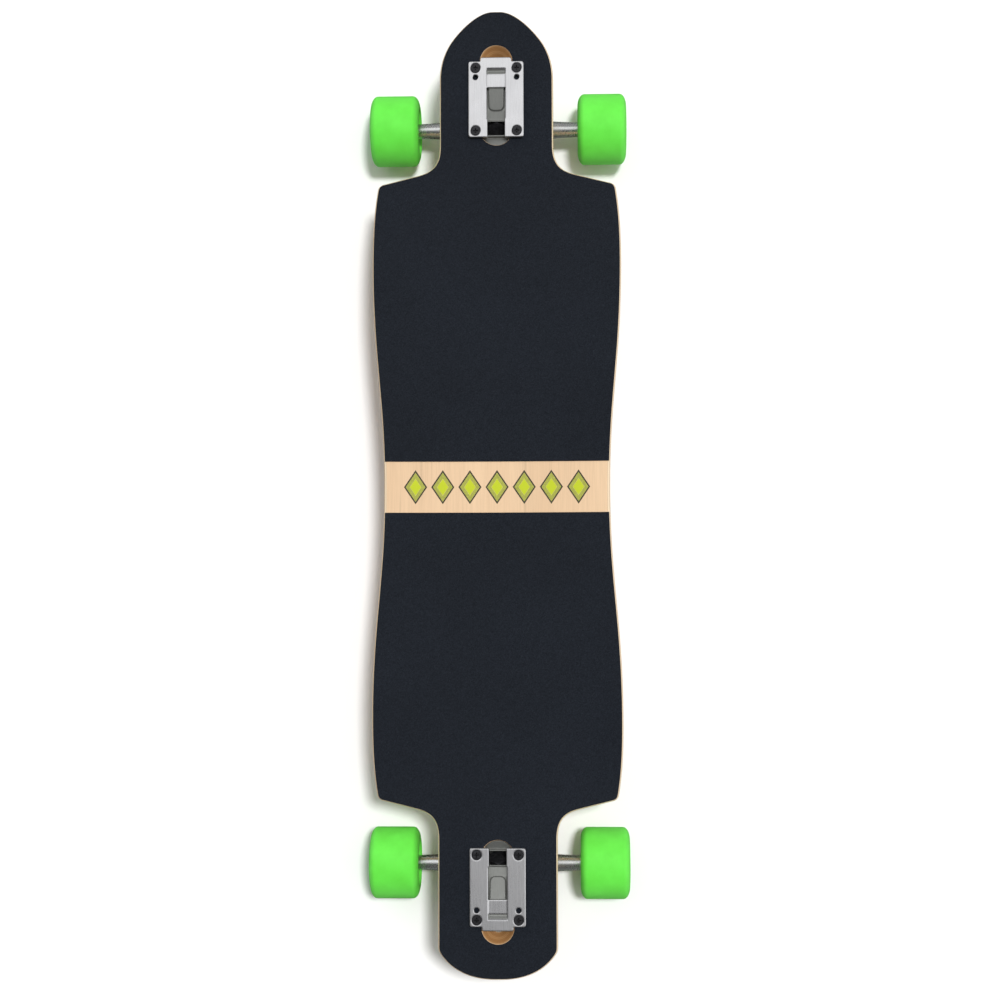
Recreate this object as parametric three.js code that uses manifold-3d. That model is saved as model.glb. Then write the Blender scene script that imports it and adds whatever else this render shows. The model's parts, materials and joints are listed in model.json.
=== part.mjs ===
// A drop-through longboard: a maple deck cut away beside the wheels, two sheets of grit tape with
// bare wood between them, and two reverse-kingpin trucks hung through slots in the deck.
// Millimetres. X is to the right, Y runs to the nose, Z is up, and the ground is Z = 0.

import * as THREE from 'three';
import { mergeVertices } from 'three/addons/utils/BufferGeometryUtils.js';
import Module from 'manifold-3d';

const wasm = await Module();
wasm.setup();

// ---------- driving dimensions ----------

const clearance = 0.3; // between two pieces that touch on the real board

// deck plan
const truckSpacing = 782.8; // between the middles of the two base plates
const noseOverhang = 91; // from a base plate's middle to the tip
const tailOverhang = 91;
const hipWidth = 248.4; // widest, just inside the wheels
const waistWidth = 224.4; // at the middle of the board
const shoulderWidth = 239; // at the corners beside the wheels
const noseNeckWidth = 114;
const tailNeckWidth = 118;
const tipWidth = 8; // flat at the very end of nose and tail
const edgeStep = 30; // between points on a long bend of the edge
const hipSetback = 159.4; // from a base plate's middle back to the widest place
const cornerSetback = 90; // from a base plate's middle back to the shoulder corner
const cornerRadius = 6.5;
const shoulderSlope = 0.25; // how the shoulder edge runs towards the truck
const neckSetback = 45.5; // from a base plate's middle back to where the neck is straight

// deck section
const deckThickness = 11;
const concaveRise = 6; // of the rails above the centre line
const concaveHalfWidth = 120;
const concaveFade = 110; // inward of the shoulder corners, over which the rails rise to full height

// grit tape
const gripThickness = 0.8;
const gripInset = 1.2; // of bare wood along the edge
const stripWidth = 50.8; // bare wood across the middle
const stripCentre = 2.7;

// slots in the deck
const slotWidth = 32;
const slotLength = 101.6;
const slotCentre = 5.2; // outward of the base plate's middle
const rampRadius = 6; // of a slot's outer end at the deck's underside, where its wall slopes in

// base plate
const plateWidth = 55;
const plateLength = 76.7;
const plateThickness = 5.5;
const plateCorner = 2;
const tabWidth = 31;
const tabLength = 4;
const wedgeGap = 0.6; // between the wedge and its slot
const wedgeDepth = 10; // below the deck's top face
const wedgeReach = 42; // outward from the plate's middle
const baseplateAngle = 45; // degrees, the steering axis above the deck
const seatWall = 5; // of metal under the kingpin's head
const towerWidth = 21;
const pivotBossRadius = 12;
const pivotBossWall = 3.7; // behind the pivot cup

// hollow in the top of the base plate
const channelWidth = 19;
const channelReach = 31.3; // outward from the plate's middle
const grooveLength = 5.8;
const grooveDepth = 2.2;
const plateauLength = 13.5;
const plateauDepth = 0.7;
const tongueWidth = 15;
const tongueLength = 22;
const tongueDepth = 2.5; // at its outer end
const tongueDrop = 6.4; // at its inner end, a step above the saddle
const saddleLength = 10;
const saddleDepth = 7.6; // where the tongue ends; it slopes down to the head's pocket
const pocketDepth = 9;
const shelfDepth = 2.5; // of the cast shelf beside the head's pocket, below the deck's top face
const headPocketWidth = 17.4;

// fixings through the deck
const boltSpacingX = 41.275;
const boltSpacingY = 63.5;
const spareHoleStep = 9.5; // from an outer bolt inward to the second hole
const spareHoleRadius = 2.65;
const boltRadius = 2.4;
const boltHeadRadius = 4.8;
const boltHeadDepth = 2.8;
const boltBoreRadius = 2.75;
const boltTail = 1.6; // of thread past the nut
const boltSegments = 14; // the same for a bolt and its hole, so that their facets line up
const deckNutAcross = 9.5;
const deckNutHeight = 5.6;

// steering joint
const ringOut = -4.2; // the bushing seat's middle, outward of the plate's middle
const ringDrop = 32.8; // below the deck's top face
const ringRadius = 17;
const ringThickness = 10;
const ringBore = 9;
const kingpinRadius = 4.76;
const kingpinHeadAcross = 16;
const kingpinHeadHeight = 6.4;
const kingpinNutAcross = 14.3;
const kingpinNutHeight = 8.5;
const kingpinTail = 4;
const bushingRadius = 14;
const boardBushingHeight = 14.6;
const roadBushingHeight = 12.6;
const bushingPlay = 0.44; // between a bushing and the kingpin
const washerRadius = 13.4;
const washerThickness = 1.5;
const pivotReach = 49; // from the bushing seat's middle to the pivot's tip
const pivotRadius = 6.5;
const pivotTipRadius = 5;
const pivotCupWall = 2.2;
const pivotCupDepth = 11.5;

// hanger, axle and wheels
const axleBack = 28.3; // from the bushing seat's middle, along the steering axis
const axleRake = 11.6; // off the steering axis, away from the deck
const hangerWidth = 180;
const armEndRadius = 7.5;
const armRootRadius = 9;
const gussetHalfWidth = 54;
const gussetThickness = 10;
const axleRadius = 3.95;
const axleLength = 250;
const speedRing = 1; // gap that each speed ring fills
const wheelRadius = 36;
const wheelWidth = 50;
const wheelOffset = 106.3; // of the wheel's middle from the board's centre line
const treadWidth = 36;
const lipDrop = 9;
const hubRadius = 15;
const hubDish = 4;
const bearingRadius = 11;
const bearingWidth = 7;
const bearingFit = 0.15;
const spacerLength = 10;
const spacerWall = 1.35;
const hubShoulderRadius = 9.3;
const axleNutAcross = 12.7;
const axleNutHeight = 6.4;

// ---------- places worked out from the dimensions ----------

const plateMiddle = truckSpacing / 2;
const steerAngle = THREE.MathUtils.degToRad(baseplateAngle);
const axleDrop = ringDrop + axleBack * Math.sin(steerAngle) + axleRake * Math.cos(steerAngle);
const deckTop = wheelRadius + axleDrop;
const gripBottom = clearance; // above the deck's top face
const plateBottom = gripBottom + gripThickness + 0.2;
const plateTop = plateBottom + plateThickness;
const ringHalf = ringThickness / 2;
const boardBushingStart = ringHalf + clearance;
const boardWasherStart = boardBushingStart + boardBushingHeight + clearance;
const seatHeight = boardWasherStart + washerThickness + clearance;
const headStart = seatHeight + seatWall + clearance;
const headTop = headStart + kingpinHeadHeight + 3 * clearance;
const headPocketReach = kingpinHeadAcross / Math.sqrt(3) + 2 * clearance;
const bushingBore = kingpinRadius + bushingPlay;
const roadBushingEnd = -ringHalf - clearance;
const roadWasherEnd = roadBushingEnd - roadBushingHeight - clearance;
const kingpinNutEnd = roadWasherEnd - washerThickness - clearance;
const kingpinEnd = kingpinNutEnd - kingpinNutHeight - kingpinTail;
const pivotCupEnd = pivotReach + clearance + pivotCupWall;
const pivotCupStart = pivotCupEnd - pivotCupDepth;
const pivotCupRadius = pivotRadius + clearance + pivotCupWall;
const pivotBossEnd = pivotCupEnd + pivotBossWall;
const bearingBore = axleRadius + clearance;
const spacerRadius = bearingBore + spacerWall;
const innerBearing = hangerWidth / 2 + speedRing + bearingWidth / 2;
const outerBearing = innerBearing + bearingWidth + spacerLength;
const axleNutStart = outerBearing + bearingWidth / 2 + speedRing;

// ---------- finishes ----------

const finish = (color, roughness, metalness) =>
  new THREE.MeshStandardMaterial({ color, roughness, metalness });
const maple = finish(0xecc9a0, 0.5, 0);
const grit = finish(0x24282c, 0.95, 0);
const castAluminium = finish(0xb9bcbe, 0.4, 0.9);
const blackSteel = finish(0x1a1c1f, 0.45, 0.6);
const brightSteel = finish(0xa8abad, 0.3, 1);
const bushingUrethane = finish(0x2a2d31, 0.5, 0);
const wheelUrethane = finish(0x77fe58, 0.4, 0);
const cupUrethane = finish(0x202224, 0.6, 0);
const shieldSteel = finish(0x8c9093, 0.35, 0.9);

// ---------- building ----------

// A geometry as a solid that can be joined and cut: only positions, shared corners merged.
function solid(geometry) {
  const bare = geometry.clone();
  bare.deleteAttribute('normal');
  bare.deleteAttribute('uv');
  const merged = mergeVertices(bare, 1e-4);
  const triangles = [];
  for (let i = 0; i < merged.index.count; i += 3) {
    const [a, b, c] = [0, 1, 2].map((corner) => merged.index.getX(i + corner));
    if (a !== b && b !== c && c !== a) triangles.push(a, b, c);
  }
  const vertProperties = new Float32Array(merged.attributes.position.array);
  const triVerts = new Uint32Array(triangles);
  return new wasm.Manifold(new wasm.Mesh({ numProp: 3, vertProperties, triVerts }));
}

function geometryOf(manifold) {
  const result = manifold.getMesh();
  const geometry = new THREE.BufferGeometry();
  geometry.setAttribute('position', new THREE.BufferAttribute(result.vertProperties, 3));
  geometry.setIndex(new THREE.BufferAttribute(result.triVerts, 1));
  return geometry.toNonIndexed();
}

const joined = (parts) => parts.map(solid).reduce((whole, part) => whole.add(part));
const cut = (body, cutters) => cutters.map(solid).reduce((left, cutter) => left.subtract(cutter), body);

function piece(name, geometry, material) {
  geometry.computeVertexNormals();
  const mesh = new THREE.Mesh(geometry, material);
  mesh.name = name;
  return mesh;
}

// A turned body about Z from [radius, height] points that go round a closed profile.
function turned(profile, segments) {
  const points = profile.map(([radius, height]) => new THREE.Vector2(radius, height));
  if (THREE.ShapeUtils.area(points) < 0) points.reverse();
  const closed = points[0].x > 0 || points[points.length - 1].x > 0;
  if (closed) points.push(points[0].clone());
  return new THREE.LatheGeometry(points, segments).rotateX(Math.PI / 2);
}

const sleeve = (inner, outer, low, high, segments) =>
  turned([[inner, low], [outer, low], [outer, high], [inner, high]], segments);

const rod = (radius, low, high, segments) =>
  turned([[0, low], [radius, low], [radius, high], [0, high]], segments);

// A hexagonal prism along Z with a corner on Y, and a nut with its bore.
function hexagon(across, low, high) {
  const prism = new THREE.CylinderGeometry(across / Math.sqrt(3), across / Math.sqrt(3), high - low, 6);
  return prism.rotateX(Math.PI / 2).translate(0, 0, (low + high) / 2);
}

const nut = (across, bore, low, high) =>
  geometryOf(cut(solid(hexagon(across, low, high)), [rod(bore, low - 1, high + 1, 16)]));

// A flat outline given in X and Y, made thick from low to high.
function plate(shape, low, high, curveSegments = 5) {
  const options = { depth: high - low, bevelEnabled: false, curveSegments };
  return new THREE.ExtrudeGeometry(shape, options).translate(0, 0, low);
}

// A side view given in Y and Z, made width wide about the centre plane.
function slice(points, width) {
  const shape = new THREE.Shape(points.map(([y, z]) => new THREE.Vector2(y, z)));
  const geometry = new THREE.ExtrudeGeometry(shape, { depth: width, bevelEnabled: false });
  const [x, y, z] = [new THREE.Vector3(1, 0, 0), new THREE.Vector3(0, 1, 0), new THREE.Vector3(0, 0, 1)];
  return geometry.translate(0, 0, -width / 2).applyMatrix4(new THREE.Matrix4().makeBasis(y, z, x));
}

function roundedRectangle(width, length, radius, middleX = 0, middleY = 0) {
  const [left, right] = [middleX - width / 2, middleX + width / 2];
  const [low, high] = [middleY - length / 2, middleY + length / 2];
  const shape = new THREE.Shape();
  shape.absarc(right - radius, high - radius, radius, 0, Math.PI / 2);
  shape.absarc(left + radius, high - radius, radius, Math.PI / 2, Math.PI);
  shape.absarc(left + radius, low + radius, radius, Math.PI, 1.5 * Math.PI);
  shape.absarc(right - radius, low + radius, radius, 1.5 * Math.PI, 2 * Math.PI);
  return shape;
}

// A box between two corners.
function block([x0, y0, z0], [x1, y1, z1]) {
  const geometry = new THREE.BoxGeometry(x1 - x0, y1 - y0, z1 - z0);
  return geometry.translate((x0 + x1) / 2, (y0 + y1) / 2, (z0 + z1) / 2);
}

// ---------- deck and grit tape ----------

// Points along a curve after its first: one for a straight line, more where a bend is long.
function stepsAlong(curve) {
  if (curve instanceof THREE.LineCurve) return [curve.v2.clone()];
  return curve.getPoints(Math.max(4, Math.round(curve.getLength() / edgeStep))).slice(1);
}

// The right edge of the deck from tail to nose. Each end is drawn from the middle outward, with
// distances along the board counted from that end's base plate.
function edgeOfEnd(neckWidth, drawTip) {
  const edge = new THREE.Path();
  const hipY = plateMiddle - hipSetback;
  const cornerY = plateMiddle - cornerSetback;
  const neckY = plateMiddle - neckSetback;
  const [waist, hip, shoulder, neck] = [waistWidth, hipWidth, shoulderWidth, neckWidth].map((w) => w / 2);
  const pastCorner = shoulder - cornerRadius;
  const pastCornerY = cornerY + cornerRadius;
  const shoulderRun = (pastCorner - neck) * 0.6;
  const filletX = pastCorner - shoulderRun;
  const filletY = pastCornerY + shoulderRun * shoulderSlope;
  edge.moveTo(waist, 0);
  edge.bezierCurveTo(waist, hipY * 0.4, hip, hipY * 0.56, hip, hipY);
  const hipRun = cornerY - hipY;
  edge.bezierCurveTo(hip, hipY + hipRun / 3, shoulder + 3.9, cornerY - hipRun / 3, shoulder, cornerY);
  const [bendX, bendY] = [shoulder - 1, cornerY + cornerRadius - 1];
  edge.quadraticCurveTo(bendX, bendY, pastCorner, pastCornerY);
  edge.lineTo(filletX, filletY);
  const filletRun = neckY - filletY;
  const [startX, startY] = [filletX - 0.5 * filletRun, filletY + 0.5 * filletRun * shoulderSlope];
  edge.bezierCurveTo(startX, startY, neck, neckY - 0.66 * filletRun, neck, neckY);
  drawTip(edge, neck);
  return [edge.curves[0].getPoint(0), ...edge.curves.flatMap(stepsAlong)];
}

// The nose is a pointed arch.
function noseTip(edge, neck) {
  const tip = plateMiddle + noseOverhang;
  const springY = tip - 70;
  const [bendX, bendY] = [neck * 0.75, tip - 27];
  edge.lineTo(neck, springY);
  edge.bezierCurveTo(neck, springY + 18, bendX + 9, bendY - 11.4, bendX, bendY);
  edge.bezierCurveTo(bendX - 14, bendY + 17.7, neck * 0.25, tip, tipWidth / 2, tip);
}

// The tail is a blunt round end with a slight corner at each side.
function tailTip(edge, neck) {
  const tip = plateMiddle + tailOverhang;
  const springY = tip - 30;
  edge.lineTo(neck, springY);
  edge.bezierCurveTo(neck * 0.85, springY + 15, neck * 0.57, tip, tipWidth / 2, tip);
}

const noseEdge = edgeOfEnd(noseNeckWidth, noseTip);
const tailEdge = edgeOfEnd(tailNeckWidth, tailTip).map((point) => new THREE.Vector2(point.x, -point.y));
const deckEdge = [...tailEdge.slice(1).reverse(), ...noseEdge];

// The same edge moved inward by a margin, square to itself.
function insetEdge(edge, margin) {
  return edge.map((point, i) => {
    const before = edge[Math.max(i - 1, 0)];
    const after = edge[Math.min(i + 1, edge.length - 1)];
    const along = after.clone().sub(before).normalize();
    return new THREE.Vector2(point.x - along.y * margin, point.y + along.x * margin);
  });
}

// The part of an edge between two places along the board.
function edgeBetween(edge, low, high) {
  const inside = edge.filter((point) => point.y > low && point.y < high);
  const at = (y) => {
    const i = edge.findIndex((point) => point.y >= y);
    const [a, b] = [edge[i - 1], edge[i]];
    return new THREE.Vector2(a.x + (b.x - a.x) * (y - a.y) / (b.y - a.y), y);
  };
  const first = edge[0].y < low ? [at(low)] : [];
  const last = edge[edge.length - 1].y > high ? [at(high)] : [];
  return [...first, ...inside, ...last];
}

// How far the deck's top face stands above its centre line. The ends are flat past the shoulders.
function concave(x, y) {
  const inward = (plateMiddle - cornerSetback - Math.abs(y)) / concaveFade;
  const fade = THREE.MathUtils.smoothstep(inward, 0, 1);
  return concaveRise * fade * (x / concaveHalfWidth) ** 2;
}

// A sheet that follows the deck's top face, from an edge that runs along the board.
function sheet(edge, bottom, thickness) {
  const columns = 6;
  const across = columns + 1;
  const layer = edge.length * across;
  const positions = [];
  for (const lift of [bottom + thickness, bottom]) {
    for (const { x: half, y } of edge) {
      for (let column = 0; column < across; column += 1) {
        const x = half * (2 * column / columns - 1);
        positions.push(x, y, deckTop + lift + concave(x, y));
      }
    }
  }
  const index = [];
  const quad = (a, b, c, d) => index.push(a, b, c, a, c, d);
  for (let row = 0; row < edge.length - 1; row += 1) {
    const [here, next] = [row * across, (row + 1) * across];
    for (let column = 0; column < columns; column += 1) {
      const [a, b, c, d] = [here + column, here + column + 1, next + column + 1, next + column];
      quad(a, b, c, d);
      quad(layer + a, layer + d, layer + c, layer + b);
    }
    quad(here, next, layer + next, layer + here);
    quad(here + columns, layer + here + columns, layer + next + columns, next + columns);
  }
  const lastRow = (edge.length - 1) * across;
  for (let column = 0; column < columns; column += 1) {
    quad(column + 1, column, layer + column, layer + column + 1);
    quad(lastRow + column, lastRow + column + 1, layer + lastRow + column + 1, layer + lastRow + column);
  }
  const geometry = new THREE.BufferGeometry();
  geometry.setAttribute('position', new THREE.Float32BufferAttribute(positions, 3));
  geometry.setIndex(index);
  return geometry;
}

// The four bolt places of one base plate, in its own X and Y.
const boltPlaces = [[-1, -1], [1, -1], [-1, 1], [1, 1]]
  .map(([x, y]) => [x * boltSpacingX / 2, y * boltSpacingY / 2]);

// The room in a deck's slot, inset by a gap: straight sides, a round inner end, and an outer end
// that narrows to a small hole. It is counted from the base plate's middle on the deck's top face.
function slotRoom(gap) {
  const radius = slotWidth / 2 - gap;
  const outer = slotCentre + slotLength / 2 - slotWidth / 2;
  const straightEnd = outer - gap;
  const inner = slotCentre - slotLength / 2 + gap;
  const [low, high] = [-ringDrop - pivotBossEnd, plateTop];
  const shape = roundedRectangle(2 * radius, 2 * (outer - inner), radius - 0.01, 0, outer);
  const straight = plate(shape, low, high, 8);
  const half = block([-slotWidth, inner - 1, low - 1], [slotWidth, straightEnd, high + 1]);
  const ramp = turned([
    [0, -deckThickness - 1], [rampRadius - gap, -deckThickness - 1], [rampRadius - gap, -deckThickness],
    [radius, 0], [radius, high], [0, high],
  ], 32).translate(0, outer, 0);
  return solid(straight).intersect(solid(half)).add(solid(ramp));
}

// The slot and bolt holes that a base plate needs through the deck and its grit tape.
function deckCutters(end) {
  const turn = end > 0 ? 0 : Math.PI;
  const slot = geometryOf(slotRoom(0)).rotateZ(turn).translate(0, end * plateMiddle, deckTop);
  const [low, high] = [deckTop - deckThickness - 1, deckTop + plateTop];
  const holes = boltPlaces.map(([x, y]) =>
    rod(boltBoreRadius, low, high, boltSegments).translate(x, end * plateMiddle + y, 0));
  return [slot, ...holes];
}

const deckHoles = [...deckCutters(1), ...deckCutters(-1)];
const deckBlank = solid(sheet(deckEdge, -deckThickness, deckThickness));
const gripEdge = insetEdge(deckEdge, gripInset);
const stripLow = stripCentre - stripWidth / 2;
const stripHigh = stripCentre + stripWidth / 2;
const tapeOf = (low, high) => solid(sheet(edgeBetween(gripEdge, low, high), gripBottom, gripThickness));

const board = new THREE.Group();
board.add(piece('deck', geometryOf(cut(deckBlank, deckHoles)), maple));
board.add(piece('nose_griptape', geometryOf(cut(tapeOf(stripHigh, Infinity), deckHoles)), grit));
board.add(piece('tail_griptape', geometryOf(cut(tapeOf(-Infinity, stripLow), deckHoles)), grit));

// ---------- trucks ----------
// A truck is built about its base plate's middle on the deck's top face, with Y outward. Its
// steering parts are built about the bushing seat, with Z up the kingpin and Y up the steering axis.

const steering = (geometry) => geometry.rotateX(steerAngle).translate(0, ringOut, -ringDrop);

// A place in the steering frame as Y and Z in the truck's frame.
function steeringPoint(y, z) {
  const turnedY = y * Math.cos(steerAngle) - z * Math.sin(steerAngle);
  const turnedZ = y * Math.sin(steerAngle) + z * Math.cos(steerAngle);
  return [ringOut + turnedY, turnedZ - ringDrop];
}

// The cast base plate: a flange on the deck, a wedge through the slot that carries the kingpin,
// and a tower that reaches down to the pivot cup.
function baseplate() {
  const inner = -plateLength / 2;
  const flange = plate(roundedRectangle(plateWidth, plateLength, plateCorner), plateBottom, plateTop, 2);
  const tabShape = roundedRectangle(tabWidth, 2 * tabLength + 4, plateCorner, 0, -inner - 2);
  const tab = plate(tabShape, plateBottom, plateTop, 2);
  const slotInner = slotCentre - slotLength / 2 + wedgeGap;
  const seatSlope = [steeringPoint(15.5, seatHeight), steeringPoint(-16, seatHeight)];
  const wedge = slice([
    [wedgeReach, plateBottom + 1],
    [inner + 2, plateBottom + 1],
    [inner + 2, -2 * shelfDepth],
    [slotInner, -shelfDepth],
    [slotInner, -deckThickness - 8],
    steeringPoint(-30, seatHeight + 2),
    seatSlope[1],
    seatSlope[0],
    [0, seatSlope[0][1]],
    [4, -wedgeDepth],
    [wedgeReach - 4, -wedgeDepth],
    [wedgeReach, 4 - wedgeDepth],
  ], slotWidth - 2 * wedgeGap);
  const tower = slice([
    steeringPoint(-14, seatHeight),
    [slotInner, -deckThickness - 1],
    steeringPoint(-pivotBossEnd, pivotBossRadius * 0.9),
    steeringPoint(-pivotBossEnd, 0),
    steeringPoint(-pivotCupStart, 0),
    steeringPoint(-pivotCupStart, pivotBossRadius * 0.9),
    steeringPoint(-pivotCupStart + 6, pivotBossRadius + 3),
  ], towerWidth);
  const boss = steering(rod(pivotBossRadius, pivotCupStart, pivotBossEnd, 20).rotateX(Math.PI / 2));
  const casting = joined([flange, tab, tower, boss]).add(solid(wedge).intersect(slotRoom(wedgeGap)));
  return geometryOf(cut(casting, baseplateCutters(inner)));
}

// The hollow in the base plate's top, the bores and the holes.
function baseplateCutters(inner) {
  const half = channelWidth / 2;
  const above = plateTop + 1;
  const grooveEnd = channelReach - grooveLength;
  const plateauEnd = grooveEnd - plateauLength;
  const tongueEnd = plateauEnd - tongueLength;
  const saddleEnd = tongueEnd - saddleLength;
  const strip = (from, to, width, depth) =>
    block([-width / 2, from, plateTop - depth], [width / 2, to, above]);
  const toothLength = grooveLength / 2;
  const teeth = [channelReach, channelReach - toothLength].map((outer) => slice([
    [outer, above], [outer, plateTop - plateauDepth], [outer - toothLength, plateTop - grooveDepth],
    [outer - toothLength, above],
  ], channelWidth));
  const sideGroove = (side) => block(
    [side > 0 ? tongueWidth / 2 : -half, tongueEnd, plateTop - saddleDepth],
    [side > 0 ? half : -tongueWidth / 2, plateauEnd, above],
  );
  const tongueCut = slice([
    [plateauEnd, above], [plateauEnd, plateTop - tongueDepth], [tongueEnd, plateTop - tongueDrop],
    [tongueEnd, above],
  ], channelWidth);
  const headCut = block(
    [-headPocketWidth / 2, -headPocketReach, headStart - clearance],
    [headPocketWidth / 2, headPocketReach, headTop],
  );
  const pocketInner = steeringPoint(0.2 - headPocketReach, headTop - 1);
  const pocketOuter = steeringPoint(headPocketReach - 0.2, headTop - 1);
  const overHead = slice([
    [pocketInner[0], above], pocketInner, pocketOuter, [pocketOuter[0], above],
  ], headPocketWidth);
  const saddle = slice([
    [tongueEnd, above], [tongueEnd, plateTop - saddleDepth], [saddleEnd, plateTop - pocketDepth],
    [saddleEnd, above],
  ], channelWidth);
  const countersink = ([x, y]) => turned([
    [0, -wedgeDepth - 12],
    [boltBoreRadius, -wedgeDepth - 12],
    [boltBoreRadius, plateTop - boltHeadDepth - clearance],
    [boltHeadRadius + clearance, plateTop - clearance],
    [boltHeadRadius + clearance, above],
    [0, above],
  ], boltSegments).translate(x, y, 0);
  const spareY = boltSpacingY / 2 - spareHoleStep;
  const spare = [-1, 1].map((side) =>
    rod(spareHoleRadius, plateBottom - 1, above, 10).translate(side * boltSpacingX / 2, spareY, 0));
  const cupEnd = pivotCupEnd + clearance;
  return [
    ...teeth,
    strip(plateauEnd - 0.1, grooveEnd, channelWidth, plateauDepth),
    tongueCut,
    sideGroove(-1),
    sideGroove(1),
    saddle,
    strip(inner - tabLength - 8, saddleEnd, headPocketWidth, plateThickness + 2),
    steering(headCut),
    overHead,
    steering(rod(kingpinRadius + clearance, 0, headStart + 1, 16)),
    steering(rod(pivotCupRadius + clearance, pivotCupStart - 1, cupEnd, 20).rotateX(Math.PI / 2)),
    ...boltPlaces.map(countersink),
    ...spare,
  ];
}

// The hanger: a ring between the bushings, two arms that hold the axle, webs that join them,
// and a round nose that turns in the pivot cup.
function hanger() {
  const half = hangerWidth / 2;
  const arm = turned([
    [0, -half], [armEndRadius, -half], [armEndRadius, -half + 12], [armRootRadius, -gussetHalfWidth + 4],
    [armRootRadius, gussetHalfWidth - 4], [armEndRadius, half - 12], [armEndRadius, half], [0, half],
  ], 20).rotateY(Math.PI / 2).translate(0, -axleBack, -axleRake);
  const ring = rod(ringRadius, -ringHalf, ringHalf, 24);
  const nose = turned([
    [0, 8], [10, 8], [pivotBossRadius - 1.5, axleBack], [pivotRadius, pivotCupStart - 1],
    [pivotRadius, pivotReach - 5], [pivotTipRadius, pivotReach], [0, pivotReach],
  ], 20).rotateX(Math.PI / 2);
  const gussetShape = new THREE.Shape();
  gussetShape.moveTo(-ringRadius + 3, 6);
  gussetShape.quadraticCurveTo(-ringRadius - 3, -axleBack + 12, -gussetHalfWidth, -axleBack + 5);
  gussetShape.lineTo(-gussetHalfWidth, -axleBack - 4);
  gussetShape.lineTo(gussetHalfWidth, -axleBack - 4);
  gussetShape.lineTo(gussetHalfWidth, -axleBack + 5);
  gussetShape.quadraticCurveTo(ringRadius + 3, -axleBack + 12, ringRadius - 3, 6);
  const lean = Math.atan2(axleRake - 3, axleBack);
  const gusset = plate(gussetShape, -gussetThickness / 2, gussetThickness / 2).rotateX(lean);
  const seat = bushingRadius + 1;
  const axleBore = rod(axleRadius + clearance, -half - 1, half + 1, 16).rotateY(Math.PI / 2);
  const cutters = [
    rod(ringBore, -20, 20, 20),
    rod(seat, ringHalf, ringHalf + 20, 20),
    rod(seat, -ringHalf - 20, -ringHalf, 20),
    axleBore.translate(0, -axleBack, -axleRake),
  ];
  return steering(geometryOf(cut(joined([arm, ring, nose, gusset]), cutters)));
}

function bushing(low, high) {
  const waist = (low + high) / 2;
  return turned([
    [bushingBore, low], [bushingRadius, low], [bushingRadius - 0.7, waist], [bushingRadius, high],
    [bushingBore, high],
  ], 18);
}

function kingpin() {
  const head = hexagon(kingpinHeadAcross, headStart, headStart + kingpinHeadHeight);
  const shank = rod(kingpinRadius, kingpinEnd, headStart + 1, 16);
  return geometryOf(joined([head, shank]));
}

// The cup is a plain sleeve with a closed end, and its hollow follows the hanger's nose.
function pivotCup() {
  const mouth = pivotRadius + clearance;
  const floor = pivotReach + clearance;
  return turned([
    [mouth, pivotCupStart], [pivotCupRadius, pivotCupStart], [pivotCupRadius, pivotCupEnd],
    [0, pivotCupEnd], [0, floor], [pivotTipRadius + clearance, floor], [mouth, pivotReach - 5],
  ], 20).rotateX(Math.PI / 2);
}

function deckBolt() {
  const end = -deckThickness - clearance - deckNutHeight - boltTail;
  return turned([
    [0, end], [boltRadius, end], [boltRadius, plateTop - boltHeadDepth], [boltHeadRadius, plateTop - 0.4],
    [boltHeadRadius, plateTop], [0, plateTop],
  ], boltSegments);
}

// The wheel is turned about its own axle line, which is Z here, with Z outboard.
function wheel() {
  const [face, tread] = [wheelWidth / 2, treadWidth / 2];
  const [inboard, outboard] = [innerBearing, outerBearing].map((place) => place - wheelOffset);
  const seat = bearingRadius + bearingFit;
  const [seatIn, seatOut] = [inboard - bearingWidth / 2 - 0.2, outboard + bearingWidth / 2 + 0.2];
  const [shoulderIn, shoulderOut] = [inboard + bearingWidth / 2 + 0.2, outboard - bearingWidth / 2 - 0.2];
  const lip = (side) => [
    [wheelRadius, side * tread],
    [wheelRadius - lipDrop * 0.29, side * (tread + (face - tread) * 0.71)],
    [wheelRadius - lipDrop, side * face],
  ];
  return turned([
    ...lip(1),
    [hubRadius, face - hubDish],
    [hubRadius - 1, seatOut],
    [seat, seatOut],
    [seat, shoulderOut],
    [hubShoulderRadius, shoulderOut],
    [hubShoulderRadius, shoulderIn],
    [seat, shoulderIn],
    [seat, seatIn],
    [hubRadius - 1, seatIn],
    [hubRadius, hubDish - face],
    ...lip(-1).reverse(),
  ], 24);
}

const alongAxle = (geometry) => geometry.rotateY(Math.PI / 2);
const bearingHalf = bearingWidth / 2;
const bearing = () => alongAxle(sleeve(bearingBore, bearingRadius, -bearingHalf, bearingHalf, 20));
const spacer = () => alongAxle(sleeve(bearingBore, spacerRadius, clearance, spacerLength - clearance, 14));

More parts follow.
